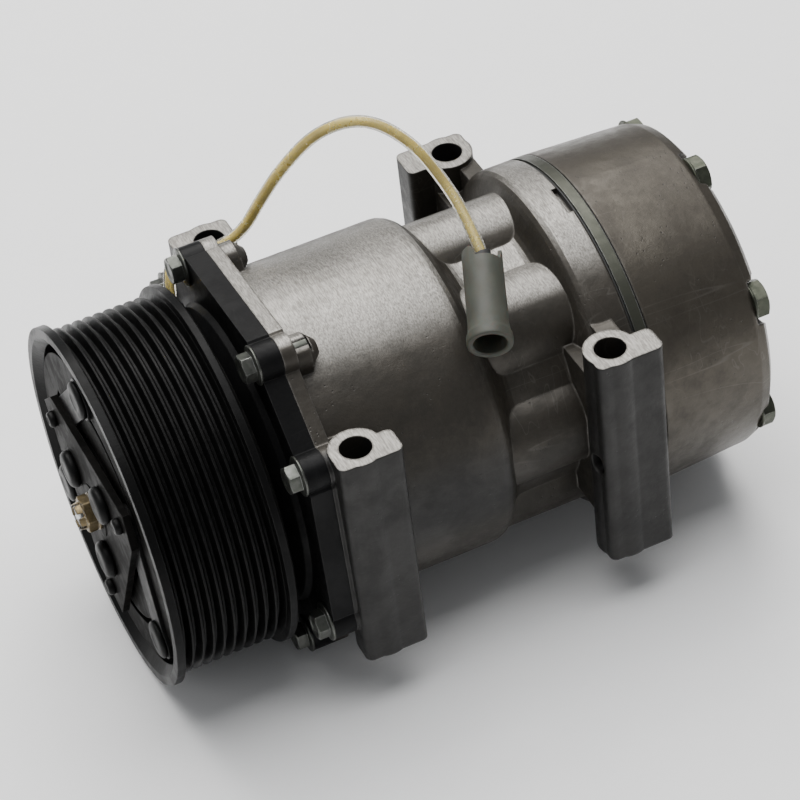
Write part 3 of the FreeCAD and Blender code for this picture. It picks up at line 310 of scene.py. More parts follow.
def build_scratches(g: Graph, source: bpy.types.Node, sink: bpy.types.Node) -> None:
    """Thin handling scratches in two directions, kept where broad noise allows.

    Args:
        g: the group's graph.
        source: its input node.
        sink: its output node.
    """
    point = g.object_point()
    total: Socket | None = None
    for stretch, turn in (((1.0, 0.06, 0.35), 0.5), ((0.09, 0.8, 0.3), 1.9)):
        laid = g.add("Mapping", {"Vector": point, "Scale": stretch, "Rotation": (turn, turn * 0.7, turn)})
        line = g.noise(laid.outputs[0], source.outputs["Scale"], 2.0, 0.5, 0.4)
        thin = g.span(g.math("ABSOLUTE", g.math("SUBTRACT", line, 0.5)), 0.0, 0.006, 1.0, 0.0)
        total = thin if total is None else g.math("MAXIMUM", total, thin)
    where = g.span(g.noise(point, g.math("MULTIPLY", source.outputs["Scale"], 0.12), 2.0), 0.5, 0.62)
    g.feed(sink.inputs["Mask"], g.math("MULTIPLY", total, where))


def build_dust(g: Graph, source: bpy.types.Node, sink: bpy.types.Node) -> None:
    """Pale dust where the surface faces up, patchy at two sizes.

    Args:
        g: the group's graph.
        source: its input node.
        sink: its output node.
    """
    point = g.object_point()
    patch = g.math("MULTIPLY", g.span(g.noise(point, 90.0, 4.0, 0.6), 0.4, 0.7),
                   g.span(g.noise(point, 1400.0, 3.0, 0.7), 0.35, 0.75))
    settled = g.math("MULTIPLY", g.span(g.facing_up(), -0.1, 0.9), patch)
    g.feed(sink.inputs["Mask"], g.math("MULTIPLY", settled, source.outputs["Amount"]))


EDGE_WEAR = Effect("Edge wear", {"Radius": 0.0006, "Gain": 6.0, "Breakup": 350.0},
                   {"Mask": FLOAT, "Normal": NORMAL}, build_edge_wear)
MOTTLE = Effect("Mottle", {"Scale": 40.0}, {"Mask": FLOAT}, build_mottle)
CAST_SKIN = Effect("Cast skin", {"Scale": 1400.0}, {"Height": FLOAT, "Pits": FLOAT}, build_cast_skin)
TURNING = Effect("Turning marks", {"Lines": 4500.0, "Wander": 0.4}, {"Height": FLOAT}, build_turning)
SCRATCHES = Effect("Scratches", {"Scale": 160.0}, {"Mask": FLOAT}, build_scratches)
DUST = Effect("Settled dust", {"Amount": 0.3}, {"Mask": FLOAT}, build_dust)


# --------------------------------------------------------------------------
# finishes


@dataclass(frozen=True)
class Finish:
    """A surface finish: its name and its light and dark colours."""

    name: str
    light: Colour
    dark: Colour
    roughness: float = 0.5
    metallic: float = 0.0
    constants: tuple[tuple[str, float], ...] = ()

    def start(self) -> tuple[bpy.types.Material, Graph, bpy.types.Node]:
        """A new material with one Principled shader.

        Returns:
            The material, its graph, and the shader node.
        """
        material = bpy.data.materials.new(self.name)
        material.use_nodes = True
        material.node_tree.nodes.clear()
        graph = Graph(material.node_tree)
        shader = graph.add("BsdfPrincipled", {"Roughness": self.roughness, "Metallic": self.metallic,
                                              **dict(self.constants)})
        out = graph.add("OutputMaterial")
        graph.feed(out.inputs[0], shader.outputs[0])
        return material, graph, shader

    def material(self) -> bpy.types.Material:
        """The material, made at its first use.

        Returns:
            The material.
        """
        found = bpy.data.materials.get(self.name)
        if found is None:
            found, graph, shader = self.start()
            self.paint(graph, shader)
            found.diffuse_color = (*self.light, 1.0)
        return found

    def paint(self, g: Graph, shader: bpy.types.Node) -> None:
        """Lay mottled colour; each kind of finish adds its own detail."""
        stain = MOTTLE.use(g, Scale=60.0)["Mask"]
        g.feed(shader.inputs["Base Color"], g.blend(stain, self.dark, self.light))

    def relief(self, g: Graph, shader: bpy.types.Node, height: Socket, depth: float,
               under: Socket | None = None) -> None:
        """Feed a height into the shader's normal, over an optional rounded normal.

        Args:
            g: the material's graph.
            shader: the Principled node.
            height: a value that changes over the surface.
            depth: how deep a change of one is, in metres.
            under: a normal to start from.
        """
        bump = g.add("Bump", {"Strength": 1.0, "Distance": depth, "Height": height})
        if under is not None:
            g.feed(bump.inputs["Normal"], under)
        g.feed(shader.inputs["Normal"], bump.outputs[0])


@dataclass(frozen=True)
class CastAluminium(Finish):
    """Die-cast aluminium: mottled, gritty, bright where edges have been knocked."""

    worn: Colour = (0.24, 0.228, 0.21)
    grit: float = 1500.0
    depth: float = 0.00012
    stain_scale: float = 34.0
    pad_level: float = 0.0
    # bar_reach: distance from the shaft's plane past which the painted shade on the bar sides starts
    bar_reach: float = 0.056

    def paint(self, g: Graph, shader: bpy.types.Node) -> None:
        """Broad stains, small specks, edge wear and scratches over a gritty skin; painted shade on the bar
        sides and milled pads above a level.

        Args:
            g: the material's graph.
            shader: the Principled node.
        """
        stain = MOTTLE.use(g, Scale=self.stain_scale)["Mask"]
        speck = MOTTLE.use(g, Scale=self.stain_scale * 9.0)["Mask"]
        skin = CAST_SKIN.use(g, Scale=self.grit)
        edge = EDGE_WEAR.use(g, Radius=0.0011, Gain=2.6, Breakup=260.0)
        marks = SCRATCHES.use(g, Scale=120.0)["Mask"]
        tone = g.math("ADD", g.math("MULTIPLY", stain, 0.72), g.math("MULTIPLY", speck, 0.28))
        colour = g.blend(tone, self.dark, self.light)
        colour = g.blend(g.math("MULTIPLY", skin["Pits"], 0.75), colour, grey(0.03))
        colour = g.blend(g.math("MULTIPLY", edge["Mask"], 0.75), colour, self.worn)
        colour = g.blend(g.math("MULTIPLY", marks, 0.12), colour, self.worn)
        colour = g.blend(DUST.use(g, Amount=0.08)["Mask"], colour, (0.16, 0.15, 0.135))
        rough = g.span(tone, 0.0, 1.0, self.roughness + 0.09, self.roughness - 0.07)
        rough = g.math("SUBTRACT", rough, g.math("MULTIPLY", edge["Mask"], 0.12))
        if self.pad_level:
            # painted shade darkens the bar sides before the milled pads are laid
            colour = self.painted_bar_shade(g, colour)
            colour, rough = self.milled(g, colour, rough)
        g.feed(shader.inputs["Base Color"], colour)
        g.feed(shader.inputs["Roughness"], rough)
        self.relief(g, shader, skin["Height"], self.depth, edge["Normal"])

    def painted_bar_shade(self, g: Graph, colour: Socket) -> Socket:
        """Painted shade: near-black colour on the mounting bar sides, which stand further from the shaft's
        plane than the barrel.

        Args:
            g: the material's graph.
            colour: the casting's colour.

        Returns:
            The colour with the painted shade laid over the bar sides.
        """
        reach = g.math("ABSOLUTE", g.coordinate(1))
        # painted shade: this mask picks the bar sides by their distance from the shaft's plane, and they are
        # painted near black
        skin = g.span(reach, self.bar_reach - 0.003, self.bar_reach + 0.001)
        cloud = MOTTLE.use(g, Scale=90.0)["Mask"]
        return g.blend(g.math("MULTIPLY", skin, 0.85), colour, g.blend(cloud, grey(0.01), grey(0.018)))

    def milled(self, g: Graph, colour: Socket, rough: Socket) -> tuple[Socket, Socket]:
        """Bright milled metal where the surface faces up and stands at the pads' level.

        Args:
            g: the material's graph.
            colour: the casting's colour.
            rough: the casting's roughness.

        Returns:
            The colour and the roughness with the pads laid over.
        """
        level = g.span(g.coordinate(2), self.pad_level - 0.0006, self.pad_level - 0.0002)
        pad = g.math("MULTIPLY", level, g.span(g.facing_up(), 0.8, 0.95))
        laid = g.add("Mapping", {"Vector": g.object_point(), "Scale": (1.0, 0.12, 1.0),
                                 "Rotation": (0.0, 0.0, 0.7)})
        strokes = g.span(g.noise(laid.outputs[0], 2600.0, 3.0, 0.6, 0.5), 0.3, 0.7)
        metal = g.blend(strokes, (0.12, 0.112, 0.1), (0.3, 0.288, 0.265))
        return g.blend(pad, colour, metal), g.math("SUBTRACT", rough, g.math("MULTIPLY", pad, 0.08))


@dataclass(frozen=True)
class MachinedMetal(Finish):
    """Turned or milled metal with fine tool lines about the shaft axis."""

    lines: float = 4500.0
    depth: float = 0.00002
    stain_scale: float = 70.0

    def paint(self, g: Graph, shader: bpy.types.Node) -> None:
        """Tool lines in colour, gloss and relief, under handling stains.

        Args:
            g: the material's graph.
            shader: the Principled node.
        """
        cut = TURNING.use(g, Lines=self.lines, Wander=0.5)["Height"]
        stain = MOTTLE.use(g, Scale=self.stain_scale)["Mask"]
        edge = EDGE_WEAR.use(g, Radius=0.0004, Gain=4.0, Breakup=500.0)
        tone = g.math("ADD", g.math("MULTIPLY", stain, 0.55), g.math("MULTIPLY", g.span(cut, 0.3, 0.7), 0.45))
        colour = g.blend(tone, self.dark, self.light)
        g.feed(shader.inputs["Base Color"], g.blend(g.math("MULTIPLY", edge["Mask"], 0.5), colour, grey(0.75)))
        rough = g.span(tone, 0.0, 1.0, self.roughness + 0.08, self.roughness - 0.06)
        g.feed(shader.inputs["Roughness"], rough)
        self.relief(g, shader, cut, self.depth, edge["Normal"])


@dataclass(frozen=True)
class BlackEnamel(Finish):
    """Satin black enamel, with orange peel, and bare metal showing along worn edges."""

    bare: Colour = (0.2, 0.195, 0.19)
    wear: float = 1.0
    edge_radius: float = 0.0005
    dust: float = 0.1

    def paint(self, g: Graph, shader: bpy.types.Node) -> None:
        """Enamel tone and gloss vary slightly; wear lightens the edges.

        Args:
            g: the material's graph.
            shader: the Principled node.
        """
        stain = MOTTLE.use(g, Scale=55.0)["Mask"]
        peel = g.noise(g.object_point(), 900.0, 3.0, 0.5)
        edge = EDGE_WEAR.use(g, Radius=self.edge_radius, Gain=5.0, Breakup=300.0)
        marks = SCRATCHES.use(g, Scale=150.0)["Mask"]
        worn = g.math("MULTIPLY", g.math("MAXIMUM", edge["Mask"], g.math("MULTIPLY", marks, 0.12)), self.wear,
                      clamp=True)
        colour = g.blend(stain, self.dark, self.light)
        colour = g.blend(g.math("MULTIPLY", worn, 0.6), colour, self.bare)
        dust = DUST.use(g, Amount=self.dust)["Mask"]
        g.feed(shader.inputs["Base Color"], g.blend(dust, colour, (0.08, 0.075, 0.07)))
        rough = g.span(stain, 0.0, 1.0, self.roughness + 0.07, self.roughness - 0.05)
        g.feed(shader.inputs["Roughness"], g.math("ADD", rough, g.math("MULTIPLY", dust, 0.3)))
        self.relief(g, shader, peel, 0.00005, edge["Normal"])


@dataclass(frozen=True)
class PlatedSteel(Finish):
    """Zinc or passivated plating: a cloudy colour shift over smooth metal."""

    tint: Colour = (0.5, 0.55, 0.42)

    def paint(self, g: Graph, shader: bpy.types.Node) -> None:
        """Three tones of plating with dulled patches and bright corners.

        Args:
            g: the material's graph.
            shader: the Principled node.
        """
        cloud = MOTTLE.use(g, Scale=150.0)["Mask"]
        film = MOTTLE.use(g, Scale=420.0)["Mask"]
        edge = EDGE_WEAR.use(g, Radius=0.0003, Gain=5.0, Breakup=900.0)
        colour = g.blend(cloud, self.dark, self.light)
        colour = g.blend(g.math("MULTIPLY", film, 0.45), colour, self.tint)
        g.feed(shader.inputs["Base Color"], g.blend(g.math("MULTIPLY", edge["Mask"], 0.5), colour, grey(0.8)))
        rough = g.span(film, 0.0, 1.0, self.roughness - 0.06, self.roughness + 0.12)
        g.feed(shader.inputs["Roughness"], rough)
        self.relief(g, shader, g.noise(g.object_point(), 2600.0, 3.0, 0.6), 0.00001, edge["Normal"])


@dataclass(frozen=True)
class Moulded(Finish):
    """Moulded rubber, resin or nylon with a fine matt skin."""

    grain: float = 2400.0
    depth: float = 0.00003

    def paint(self, g: Graph, shader: bpy.types.Node) -> None:
        """Soft tone changes, a fine skin and slightly brighter corners.

        Args:
            g: the material's graph.
            shader: the Principled node.
        """
        cloud = MOTTLE.use(g, Scale=120.0)["Mask"]
        edge = EDGE_WEAR.use(g, Radius=0.0004, Gain=2.0, Breakup=500.0)
        colour = g.blend(cloud, self.dark, self.light)
        colour = g.blend(g.math("MULTIPLY", edge["Mask"], 0.25), colour, self.light)
        g.feed(shader.inputs["Base Color"], colour)
        rough = g.span(cloud, 0.0, 1.0, self.roughness - 0.04, self.roughness + 0.06)
        g.feed(shader.inputs["Roughness"], rough)
        self.relief(g, shader, g.noise(g.object_point(), self.grain, 3.0, 0.6), self.depth, edge["Normal"])


class Finishes:
    """Every finish on the compressor, by what it is."""

    # the barrel casting has painted shade on its bar sides as well as milled pads
    barrel_casting = CastAluminium("Barrel casting", (0.048, 0.042, 0.034), (0.027, 0.024, 0.019), 0.46, 0.5,
                                   pad_level=0.0406)
    head_casting = CastAluminium("Rear head casting", (0.078, 0.069, 0.055), (0.044, 0.038, 0.03), 0.37, 0.6,
                                 depth=0.00009, stain_scale=26.0)
    pulley_enamel = BlackEnamel("Pulley enamel", grey(0.005), grey(0.003), 0.36, 0.0,
                                (("Specular IOR Level", 0.08),), wear=0.2, dust=0.02)
    clutch_enamel = BlackEnamel("Clutch enamel", (0.009, 0.0085, 0.008), (0.0045, 0.0043, 0.004), 0.46, 0.0,
                                (("Specular IOR Level", 0.02),), wear=0.3, dust=0.02)
    rivet_enamel = BlackEnamel("Rivet enamel", grey(0.007), grey(0.004), 0.4, 0.0,
                               (("Specular IOR Level", 0.12),), wear=0.25, dust=0.03)
    housing_enamel = BlackEnamel("Front housing enamel", (0.006, 0.006, 0.0063), (0.0035, 0.0035, 0.0037),
                                 0.45, 0.0, (("Specular IOR Level", 0.1),), wear=0.25, dust=0.05)
    zinc = PlatedSteel("Zinc plate", (0.115, 0.116, 0.108), (0.065, 0.067, 0.06), 0.34, 0.85,
                       tint=(0.09, 0.1, 0.082))
    head_zinc = PlatedSteel("Dull zinc plate", (0.092, 0.094, 0.073), (0.052, 0.055, 0.042), 0.4, 0.85,
                            tint=(0.068, 0.08, 0.056))
    brass_pass = PlatedSteel("Yellow passivate", (0.24, 0.18, 0.09), (0.08, 0.06, 0.03), 0.38, 0.85,
                             tint=(0.14, 0.12, 0.08))
    ring_band = MachinedMetal("Valve plate steel", (0.07, 0.072, 0.056), (0.042, 0.044, 0.034), 0.4, 0.7)
    ground_steel = MachinedMetal("Ground steel", grey(0.5), grey(0.33), 0.3, 0.95)
    forged_steel = MachinedMetal("Forged steel", grey(0.22), grey(0.12), 0.5, 0.9, lines=2200.0, depth=0.00005)
    machined_alloy = MachinedMetal("Machined aluminium", (0.6, 0.59, 0.57), (0.42, 0.41, 0.39), 0.35, 0.92)
    resin = Moulded("Coil resin", (0.06, 0.035, 0.02), (0.03, 0.018, 0.012), 0.45)
    rubber = Moulded("Black rubber", grey(0.022), grey(0.01), 0.62)
    gasket = Moulded("Gasket coating", grey(0.03), grey(0.014), 0.6)
    nylon = Moulded("Natural nylon", (0.058, 0.06, 0.045), (0.044, 0.046, 0.034), 0.6, 0.0,
                    (("Subsurface Weight", 0.35), ("Subsurface Scale", 0.002), ("Transmission Weight", 0.15)))
    tin = PlatedSteel("Tinned brass", (0.62, 0.58, 0.48), (0.42, 0.38, 0.3), 0.32, 0.95,
                      tint=(0.5, 0.46, 0.36))
    lead_core = Moulded("Yellow insulation", (0.62, 0.47, 0.05), (0.45, 0.33, 0.03), 0.4)
    lead_sleeve = Moulded("Clear sleeve", (0.95, 0.94, 0.86), (0.9, 0.88, 0.78), 0.22, 0.0,
                          (("Transmission Weight", 0.9), ("IOR", 1.3)))


FINISH_OF_NODE: dict[str, Finish] = {
    "pulley_rotor": Finishes.pulley_enamel,
    **dict.fromkeys(("hub_plate", "armature_plate", "clutch_hub", "coil_housing"), Finishes.clutch_enamel),
    **dict.fromkeys(("hub_rivets", "spring_rivets", "armature_rivets", "leaf_springs"), Finishes.rivet_enamel),
    "front_housing": Finishes.housing_enamel,
    "cylinder_block": Finishes.barrel_casting,
    "rear_head": Finishes.head_casting,
    **dict.fromkeys(("front_bolts", "nose_circlip", "coil_circlip", "bearing_circlip"), Finishes.zinc),
    "head_bolts": Finishes.head_zinc,
    "shaft_nut": Finishes.brass_pass,
    "valve_plate": Finishes.ring_band,
    **dict.fromkeys(("bearing_inner_race", "bearing_outer_race", "bearing_balls", "drive_shaft", "gap_shims",
                     "shaft_key", "pivot_ball", "suction_reeds", "discharge_reeds", "front_needle_bearing",
                     "rotor_thrust_bearing", "plate_thrust_bearing"), Finishes.ground_steel),
    **dict.fromkeys(("cam_rotor", "anchor_gear", "plate_gear", "anchor_spring"), Finishes.forged_steel),
    "wobble_plate": Finishes.machined_alloy,
    "coil_winding": Finishes.resin,
    **dict.fromkeys(("lead_grommet", "wire_seal", "front_o_ring", "shaft_seal"), Finishes.rubber),
    **dict.fromkeys(("block_gasket", "head_gasket"), Finishes.gasket),
    "connector_housing": Finishes.nylon,
    "connector_terminal": Finishes.tin,
    "lead_wire": Finishes.lead_core,
    **{f"piston_{number}": Finishes.machined_alloy for number in range(1, CYLINDERS + 1)},
    **{f"piston_rod_{number}": Finishes.ground_steel for number in range(1, CYLINDERS + 1)},
}


def dress_nodes(nodes: dict[str, bpy.types.Object]) -> None:
    """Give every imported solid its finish.

    Args:
        nodes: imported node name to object.
    """
    for name, obj in nodes.items():
        finish = FINISH_OF_NODE[name]
        obj.data.materials.clear()
        obj.data.materials.append(finish.material())
        LOG.info("dressed %s in %s", name, finish.name)


# --------------------------------------------------------------------------
# the studio


@dataclass(frozen=True)
class Viewpoint:
    """Where the camera stands: angles in degrees, lengths in metres, lens in millimetres."""

    azimuth: float = -20.152
    elevation: float = 41.793
    roll: float = 7.461
    distance: float = 1.01713
    target: tuple[float, float, float] = (-0.00616, -0.00048, -0.00288)
    lens: float = 139.1

    def camera(self) -> bpy.types.Object:
        """The camera, looking at the target from that direction, turned about its own axis.

        Returns:
            The camera object.
        """
        a, e, r = (math.radians(v) for v in (self.azimuth, self.elevation, self.roll))
        forward = Vector((-math.sin(a) * math.cos(e), math.cos(a) * math.cos(e), -math.sin(e)))
        level = forward.cross(Vector((0, 0, 1))).normalized()
        below = forward.cross(level)
        right = level * math.cos(r) + below * math.sin(r)
        up = right.cross(forward)
        place = Vector(self.target) - forward * self.distance
        data = bpy.data.cameras.new("camera")
        data.lens, data.sensor_width = self.lens, 36.0
        data.clip_start, data.clip_end = 0.05, 20.0
        camera = bpy.data.objects.new("camera", data)
        rows = [(right[i], up[i], -forward[i], place[i]) for i in range(3)]
        camera.matrix_world = Matrix((*rows, (0, 0, 0, 1)))
        bpy.context.scene.collection.objects.link(camera)
        return camera


@dataclass(frozen=True)
class SoftBox:
    """A rectangular studio light, in metres and watts."""

    name: str
    place: tuple[float, float, float]
    width: float
    height: float
    power: float
    colour: Colour = (1.0, 1.0, 1.0)

    def light(self) -> bpy.types.Object:
        """The area light, aimed at the middle of the compressor.

        Returns:
            The light object.
        """
        data = bpy.data.lights.new(self.name, "AREA")
        data.shape, data.size, data.size_y = "RECTANGLE", self.width, self.height
        data.energy, data.color = self.power, self.colour
        obj = bpy.data.objects.new(self.name, data)
        obj.location = self.place
        obj.rotation_mode = "QUATERNION"
        obj.rotation_quaternion = (-Vector(self.place)).to_track_quat("-Z", "Y")
        bpy.context.scene.collection.objects.link(obj)
        return obj


@dataclass
class Studio:
    """The pale floor, soft light and camera."""

    floor_level: float
    floor_half: float = 3.0
    sky: Colour = (0.95, 0.97, 1.0)
    sky_strength: float = 0.3
    viewpoint: Viewpoint = field(default_factory=Viewpoint)
    boxes: tuple[SoftBox, ...] = (
        SoftBox("overhead", (0.1, 0.8, 1.05), 1.3, 0.7, 18.0, (1.0, 0.985, 0.96)),
        SoftBox("zenith", (0.0, 0.1, 1.6), 1.6, 1.4, 33.0),
        SoftBox("left_fill", (-1.3, -0.1, 0.5), 0.4, 0.8, 2.2),
    )

    def build(self) -> None:
        """Put up the floor, lights, world and camera."""
        self.floor()
        for box in self.boxes:
            box.light()
        world = bpy.data.worlds.new("studio")
        world.use_nodes = True
        world.node_tree.nodes["Background"].inputs[0].default_value = (*self.sky, 1.0)
        world.node_tree.nodes["Background"].inputs[1].default_value = self.sky_strength
        bpy.context.scene.world = world
        bpy.context.scene.camera = self.viewpoint.camera()

    def floor(self) -> None:
        """A broad pale floor under the lowest point, with a faint tone change."""
        half, z = self.floor_half, self.floor_level
        mesh = bpy.data.meshes.new("studio_floor")
        mesh.from_pydata([(-half, -half, z), (half, -half, z), (half, half, z), (-half, half, z)], [],
                         [(0, 1, 2, 3)])
        obj = bpy.data.objects.new("studio_floor", mesh)
        bpy.context.scene.collection.objects.link(obj)
        finish = Finish("Studio floor", grey(0.96), grey(0.95), 0.9)
        obj.data.materials.append(finish.material())
        obj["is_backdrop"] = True


# --------------------------------------------------------------------------
# parametric surfaces


class Shell:
    """One piece's surface, gathered from closed rings of points."""

    def __init__(self) -> None:
        """Start empty."""
        self.points: list[np.ndarray] = []
        self.faces: list[list[int]] = []
        self.count = 0

    def rings(self, grid: np.ndarray, closed: bool = False) -> "Shell":
        """Add rings joined into a skin.

        Args:
            grid: rings by points by three; each ring closes on itself.
            closed: True joins the last ring to the first, otherwise both ends
                are closed by a fan about the ring's middle.

        Returns:
            This shell.
        """
        rows, columns, _ = grid.shape
        index = self.count + np.arange(rows * columns).reshape(rows, columns)
        ahead = np.roll(index, -1, axis=1)
        first, second = (index, np.roll(index, -1, axis=0)) if closed else (index[:-1], index[1:])
        ahead_first, ahead_second = (ahead, np.roll(ahead, -1, axis=0)) if closed else (ahead[:-1], ahead[1:])
        quads = np.stack([first, ahead_first, ahead_second, second], axis=-1).reshape(-1, 4)
        self.faces += quads.tolist()
        self.points.append(grid.reshape(-1, 3))
        self.count += rows * columns
        if not closed:
            for ring, turned in ((0, True), (-1, False)):
                self.points.append(grid[ring].mean(axis=0, keepdims=True))
                fan = np.stack([index[ring], ahead[ring], np.full(columns, self.count)], axis=-1)
                self.faces += (fan[:, ::-1] if turned else fan).tolist()
                self.count += 1
        return self

    def piece(self, name: str, body: Body, finish: Finish, slot: str, *nodes: str,
              sharp: float = 35.0) -> bpy.types.Object:
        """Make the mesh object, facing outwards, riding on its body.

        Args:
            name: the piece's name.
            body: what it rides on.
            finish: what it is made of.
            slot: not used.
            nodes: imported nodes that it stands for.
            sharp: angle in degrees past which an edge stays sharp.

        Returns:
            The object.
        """
        mesh = bpy.data.meshes.new(name)
        mesh.from_pydata(np.concatenate(self.points).tolist(), [], self.faces)
        shape = bmesh.new()
        shape.from_mesh(mesh)
        bmesh.ops.remove_doubles(shape, verts=shape.verts, dist=1e-7)
        bmesh.ops.recalc_face_normals(shape, faces=shape.faces)
        shape.to_mesh(mesh)
        shape.free()
        mesh.shade_smooth()
        mesh.set_sharp_from_angle(angle=math.radians(sharp))
        mesh.materials.append(finish.material())
        obj = bpy.data.objects.new(name, mesh)
        bpy.context.scene.collection.objects.link(obj)
        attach(obj, body.value)
        if nodes:
            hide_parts(*nodes)
        LOG.info("built %s with %d faces", name, len(mesh.polygons))
        return obj


def around(steps: int) -> np.ndarray:
    """Equal angles once round the axis, as one row."""
    return np.linspace(0, 2 * math.pi, steps, endpoint=False)[None, :]


def smooth_step(share: np.ndarray) -> np.ndarray:
    """Three times the share's square less twice its cube, with the share held from 0 to 1."""
    share = np.clip(share, 0, 1)
    return share * share * (3 - 2 * share)


def hexagon_radius(angle: np.ndarray, apothem: float, firmness: float = 44.0) -> np.ndarray:
    """A hexagon with eased corners: its apothem over the p-norm of the cosines to its three pairs of flats."""
    flats = np.abs(np.cos(angle[..., None] - np.arange(3) * math.pi / 3))
    return apothem / (flats ** firmness).sum(axis=-1) ** (1.0 / firmness)


def eased(profile: Sequence[tuple[float, float]], ease: float, steps: int = 4) -> np.ndarray:
    """Round a profile's corners: each becomes a quadratic arc between points a short way before and after it.

    Args:
        profile: heights and radii.
        ease: how far from a corner its arc starts and ends.
        steps: points on each arc.

    Returns:
        The eased profile, points by two.
    """
    points = np.array(profile, float)
    before, after = points[:-2] - points[1:-1], points[2:] - points[1:-1]
    reach = [np.minimum(ease, 0.45 * np.linalg.norm(v, axis=1, keepdims=True)) for v in (before, after)]
    start = points[1:-1] + before / np.linalg.norm(before, axis=1, keepdims=True) * reach[0]
    end = points[1:-1] + after / np.linalg.norm(after, axis=1, keepdims=True) * reach[1]
    t = np.linspace(0.0, 1.0, steps)[None, :, None]
    arcs = (1 - t) ** 2 * start[:, None] + 2 * t * (1 - t) * points[1:-1, None] + t ** 2 * end[:, None]
    return np.concatenate([points[:1], arcs.reshape(-1, 2), points[-1:]])


def stack_rows(rows: Sequence[tuple[Row, Row]], angle: np.ndarray) -> tuple[np.ndarray, np.ndarray]:
    """Two grids from rows of a height and a radius, each one number or one value for every angle."""
    heights = np.concatenate([np.broadcast_to(row[0], angle.shape) for row in rows])
    return heights, np.concatenate([np.broadcast_to(row[1], angle.shape) for row in rows])


def round_axis(radius: float, degrees: float, x: float) -> Vector:
    """A point about the shaft axis; angles turn from +Y towards +Z."""
    turn = math.radians(degrees)
    return Vector((x, radius * math.cos(turn), radius * math.sin(turn)))


@dataclass(frozen=True)
class Seat:
    """Where a turned piece stands: base point, outward axis and twist."""

    base: Vector
    axis: Vector
    twist: float = 0.0

    def place(self, height: np.ndarray, radius: np.ndarray, angle: np.ndarray) -> np.ndarray:
        """Turn heights, radii and angles, spread to one grid, into points.

        Args:
            height: distance along the axis.
            radius: distance from the axis.
            angle: angle round the axis.

        Returns:
            Rings by points by three.
        """
        height, radius, angle = np.broadcast_arrays(height, radius, angle)
        turn = np.array(Vector((0, 0, 1)).rotation_difference(self.axis).to_matrix())
        angle = angle + self.twist
        local = np.stack([radius * np.cos(angle), radius * np.sin(angle), height], -1)
        return local @ turn.T + np.array(self.base)


# --------------------------------------------------------------------------
# bolts, rivets and the clutch nut


@dataclass(frozen=True)
class HexBolt:
    """A hexagon bolt: shank, washer flange, chamfered head with a dished top."""

    flats: float
    flange: float
    flange_height: float
    head: float
    shank: float
    dish: float = 0.5 * MM
    melt: float = 0.04 * MM
    steps: int = 72

    def surface(self, seat: Seat, depth: float) -> np.ndarray:
        """Rings from the shank's tip to the middle of the head.

        The radius at a height is that of the flange below, and above it the
        smaller of the hexagon's and of a 30-degree chamfer cone's, the two
        melted together by a soft minimum.

        Args:
            seat: where the head bears.
            depth: how far the shank reaches past the seat.

        Returns:
            Rings by points by three.
        """
        a, f, top = self.flats / 2, self.flange_height, self.head
        low = eased([(-depth, 0.4 * self.shank), (-depth + 0.6 * MM, self.shank), (-0.2 * MM, self.shank),
                     (0.0, self.flange - 0.3 * MM), (0.25 * f, self.flange),
                     (0.7 * f, self.flange - 0.05 * MM), (f, a * 1.13)], 0.3 * MM)
        high = eased([(top, a * 0.93), (top - 0.08 * MM, a * 0.8), (top - self.dish, a * 0.62),
                      (top - self.dish, a * 0.1)], 0.35 * MM)
        sides = np.concatenate([[f + 0.02 * MM], np.linspace(f + 0.4 * MM, top - 1.2 * MM, 4),
                                np.linspace(top - 1.05 * MM, top, 9)])[:, None]
        angle = around(self.steps)
        cone = a * 0.95 + (top - sides) * math.sqrt(3.0)
        six = -np.logaddexp(-hexagon_radius(angle, a) / self.melt, -cone / self.melt) * self.melt
        heights, radii = stack_rows([*low, *zip(sides, six), *high], angle)
        return seat.place(heights, radii, angle)


@dataclass(frozen=True)
class ButtonRivet:
    """A rivet with a rounded button head and a shallow mark in its middle."""

    radius: float
    height: float
    depth: float
    shank: float

    def surface(self, seat: Seat) -> np.ndarray:
        """Rings of the turned profile, from the shank's end to the head's middle.

        Args:
            seat: where the head bears.

        Returns:
            Rings by points by three.
        """
        r, h = self.radius, self.height
        profile = eased([(-self.depth, 0.3 * self.shank), (-self.depth, self.shank), (0.0, self.shank),
                         (0.0, r * 0.98), (0.55 * h, r), (0.92 * h, 0.86 * r), (h, 0.55 * r),
                         (h - 0.25 * MM, 0.4 * r), (h - 0.3 * MM, 0.08 * r)], 0.3 * h, 5)
        return seat.place(profile[:, :1], profile[:, 1:], around(56))


@dataclass(frozen=True)
class RivetSet:
    """Three equal rivets, a third of a turn apart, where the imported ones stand."""

    node: str
    body: Body
    circle: float
    angle: float
    radius: float
    height: float

    def build(self) -> None:
        """Make the three rivets as one piece."""
        low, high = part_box(self.node)
        seat_x = low.x + self.height
        rivet = ButtonRivet(self.radius, self.height, high.x - seat_x, min(3.2 * MM, 0.6 * self.radius))
        shell = Shell()
        for third in range(3):
            place = round_axis(self.circle, self.angle + 120.0 * third, seat_x)
            shell.rings(rivet.surface(Seat(place, FORWARD)))
        shell.piece(self.node.removesuffix("s") + "_heads", self.body, Finishes.rivet_enamel, "black_paint",
                    self.node)


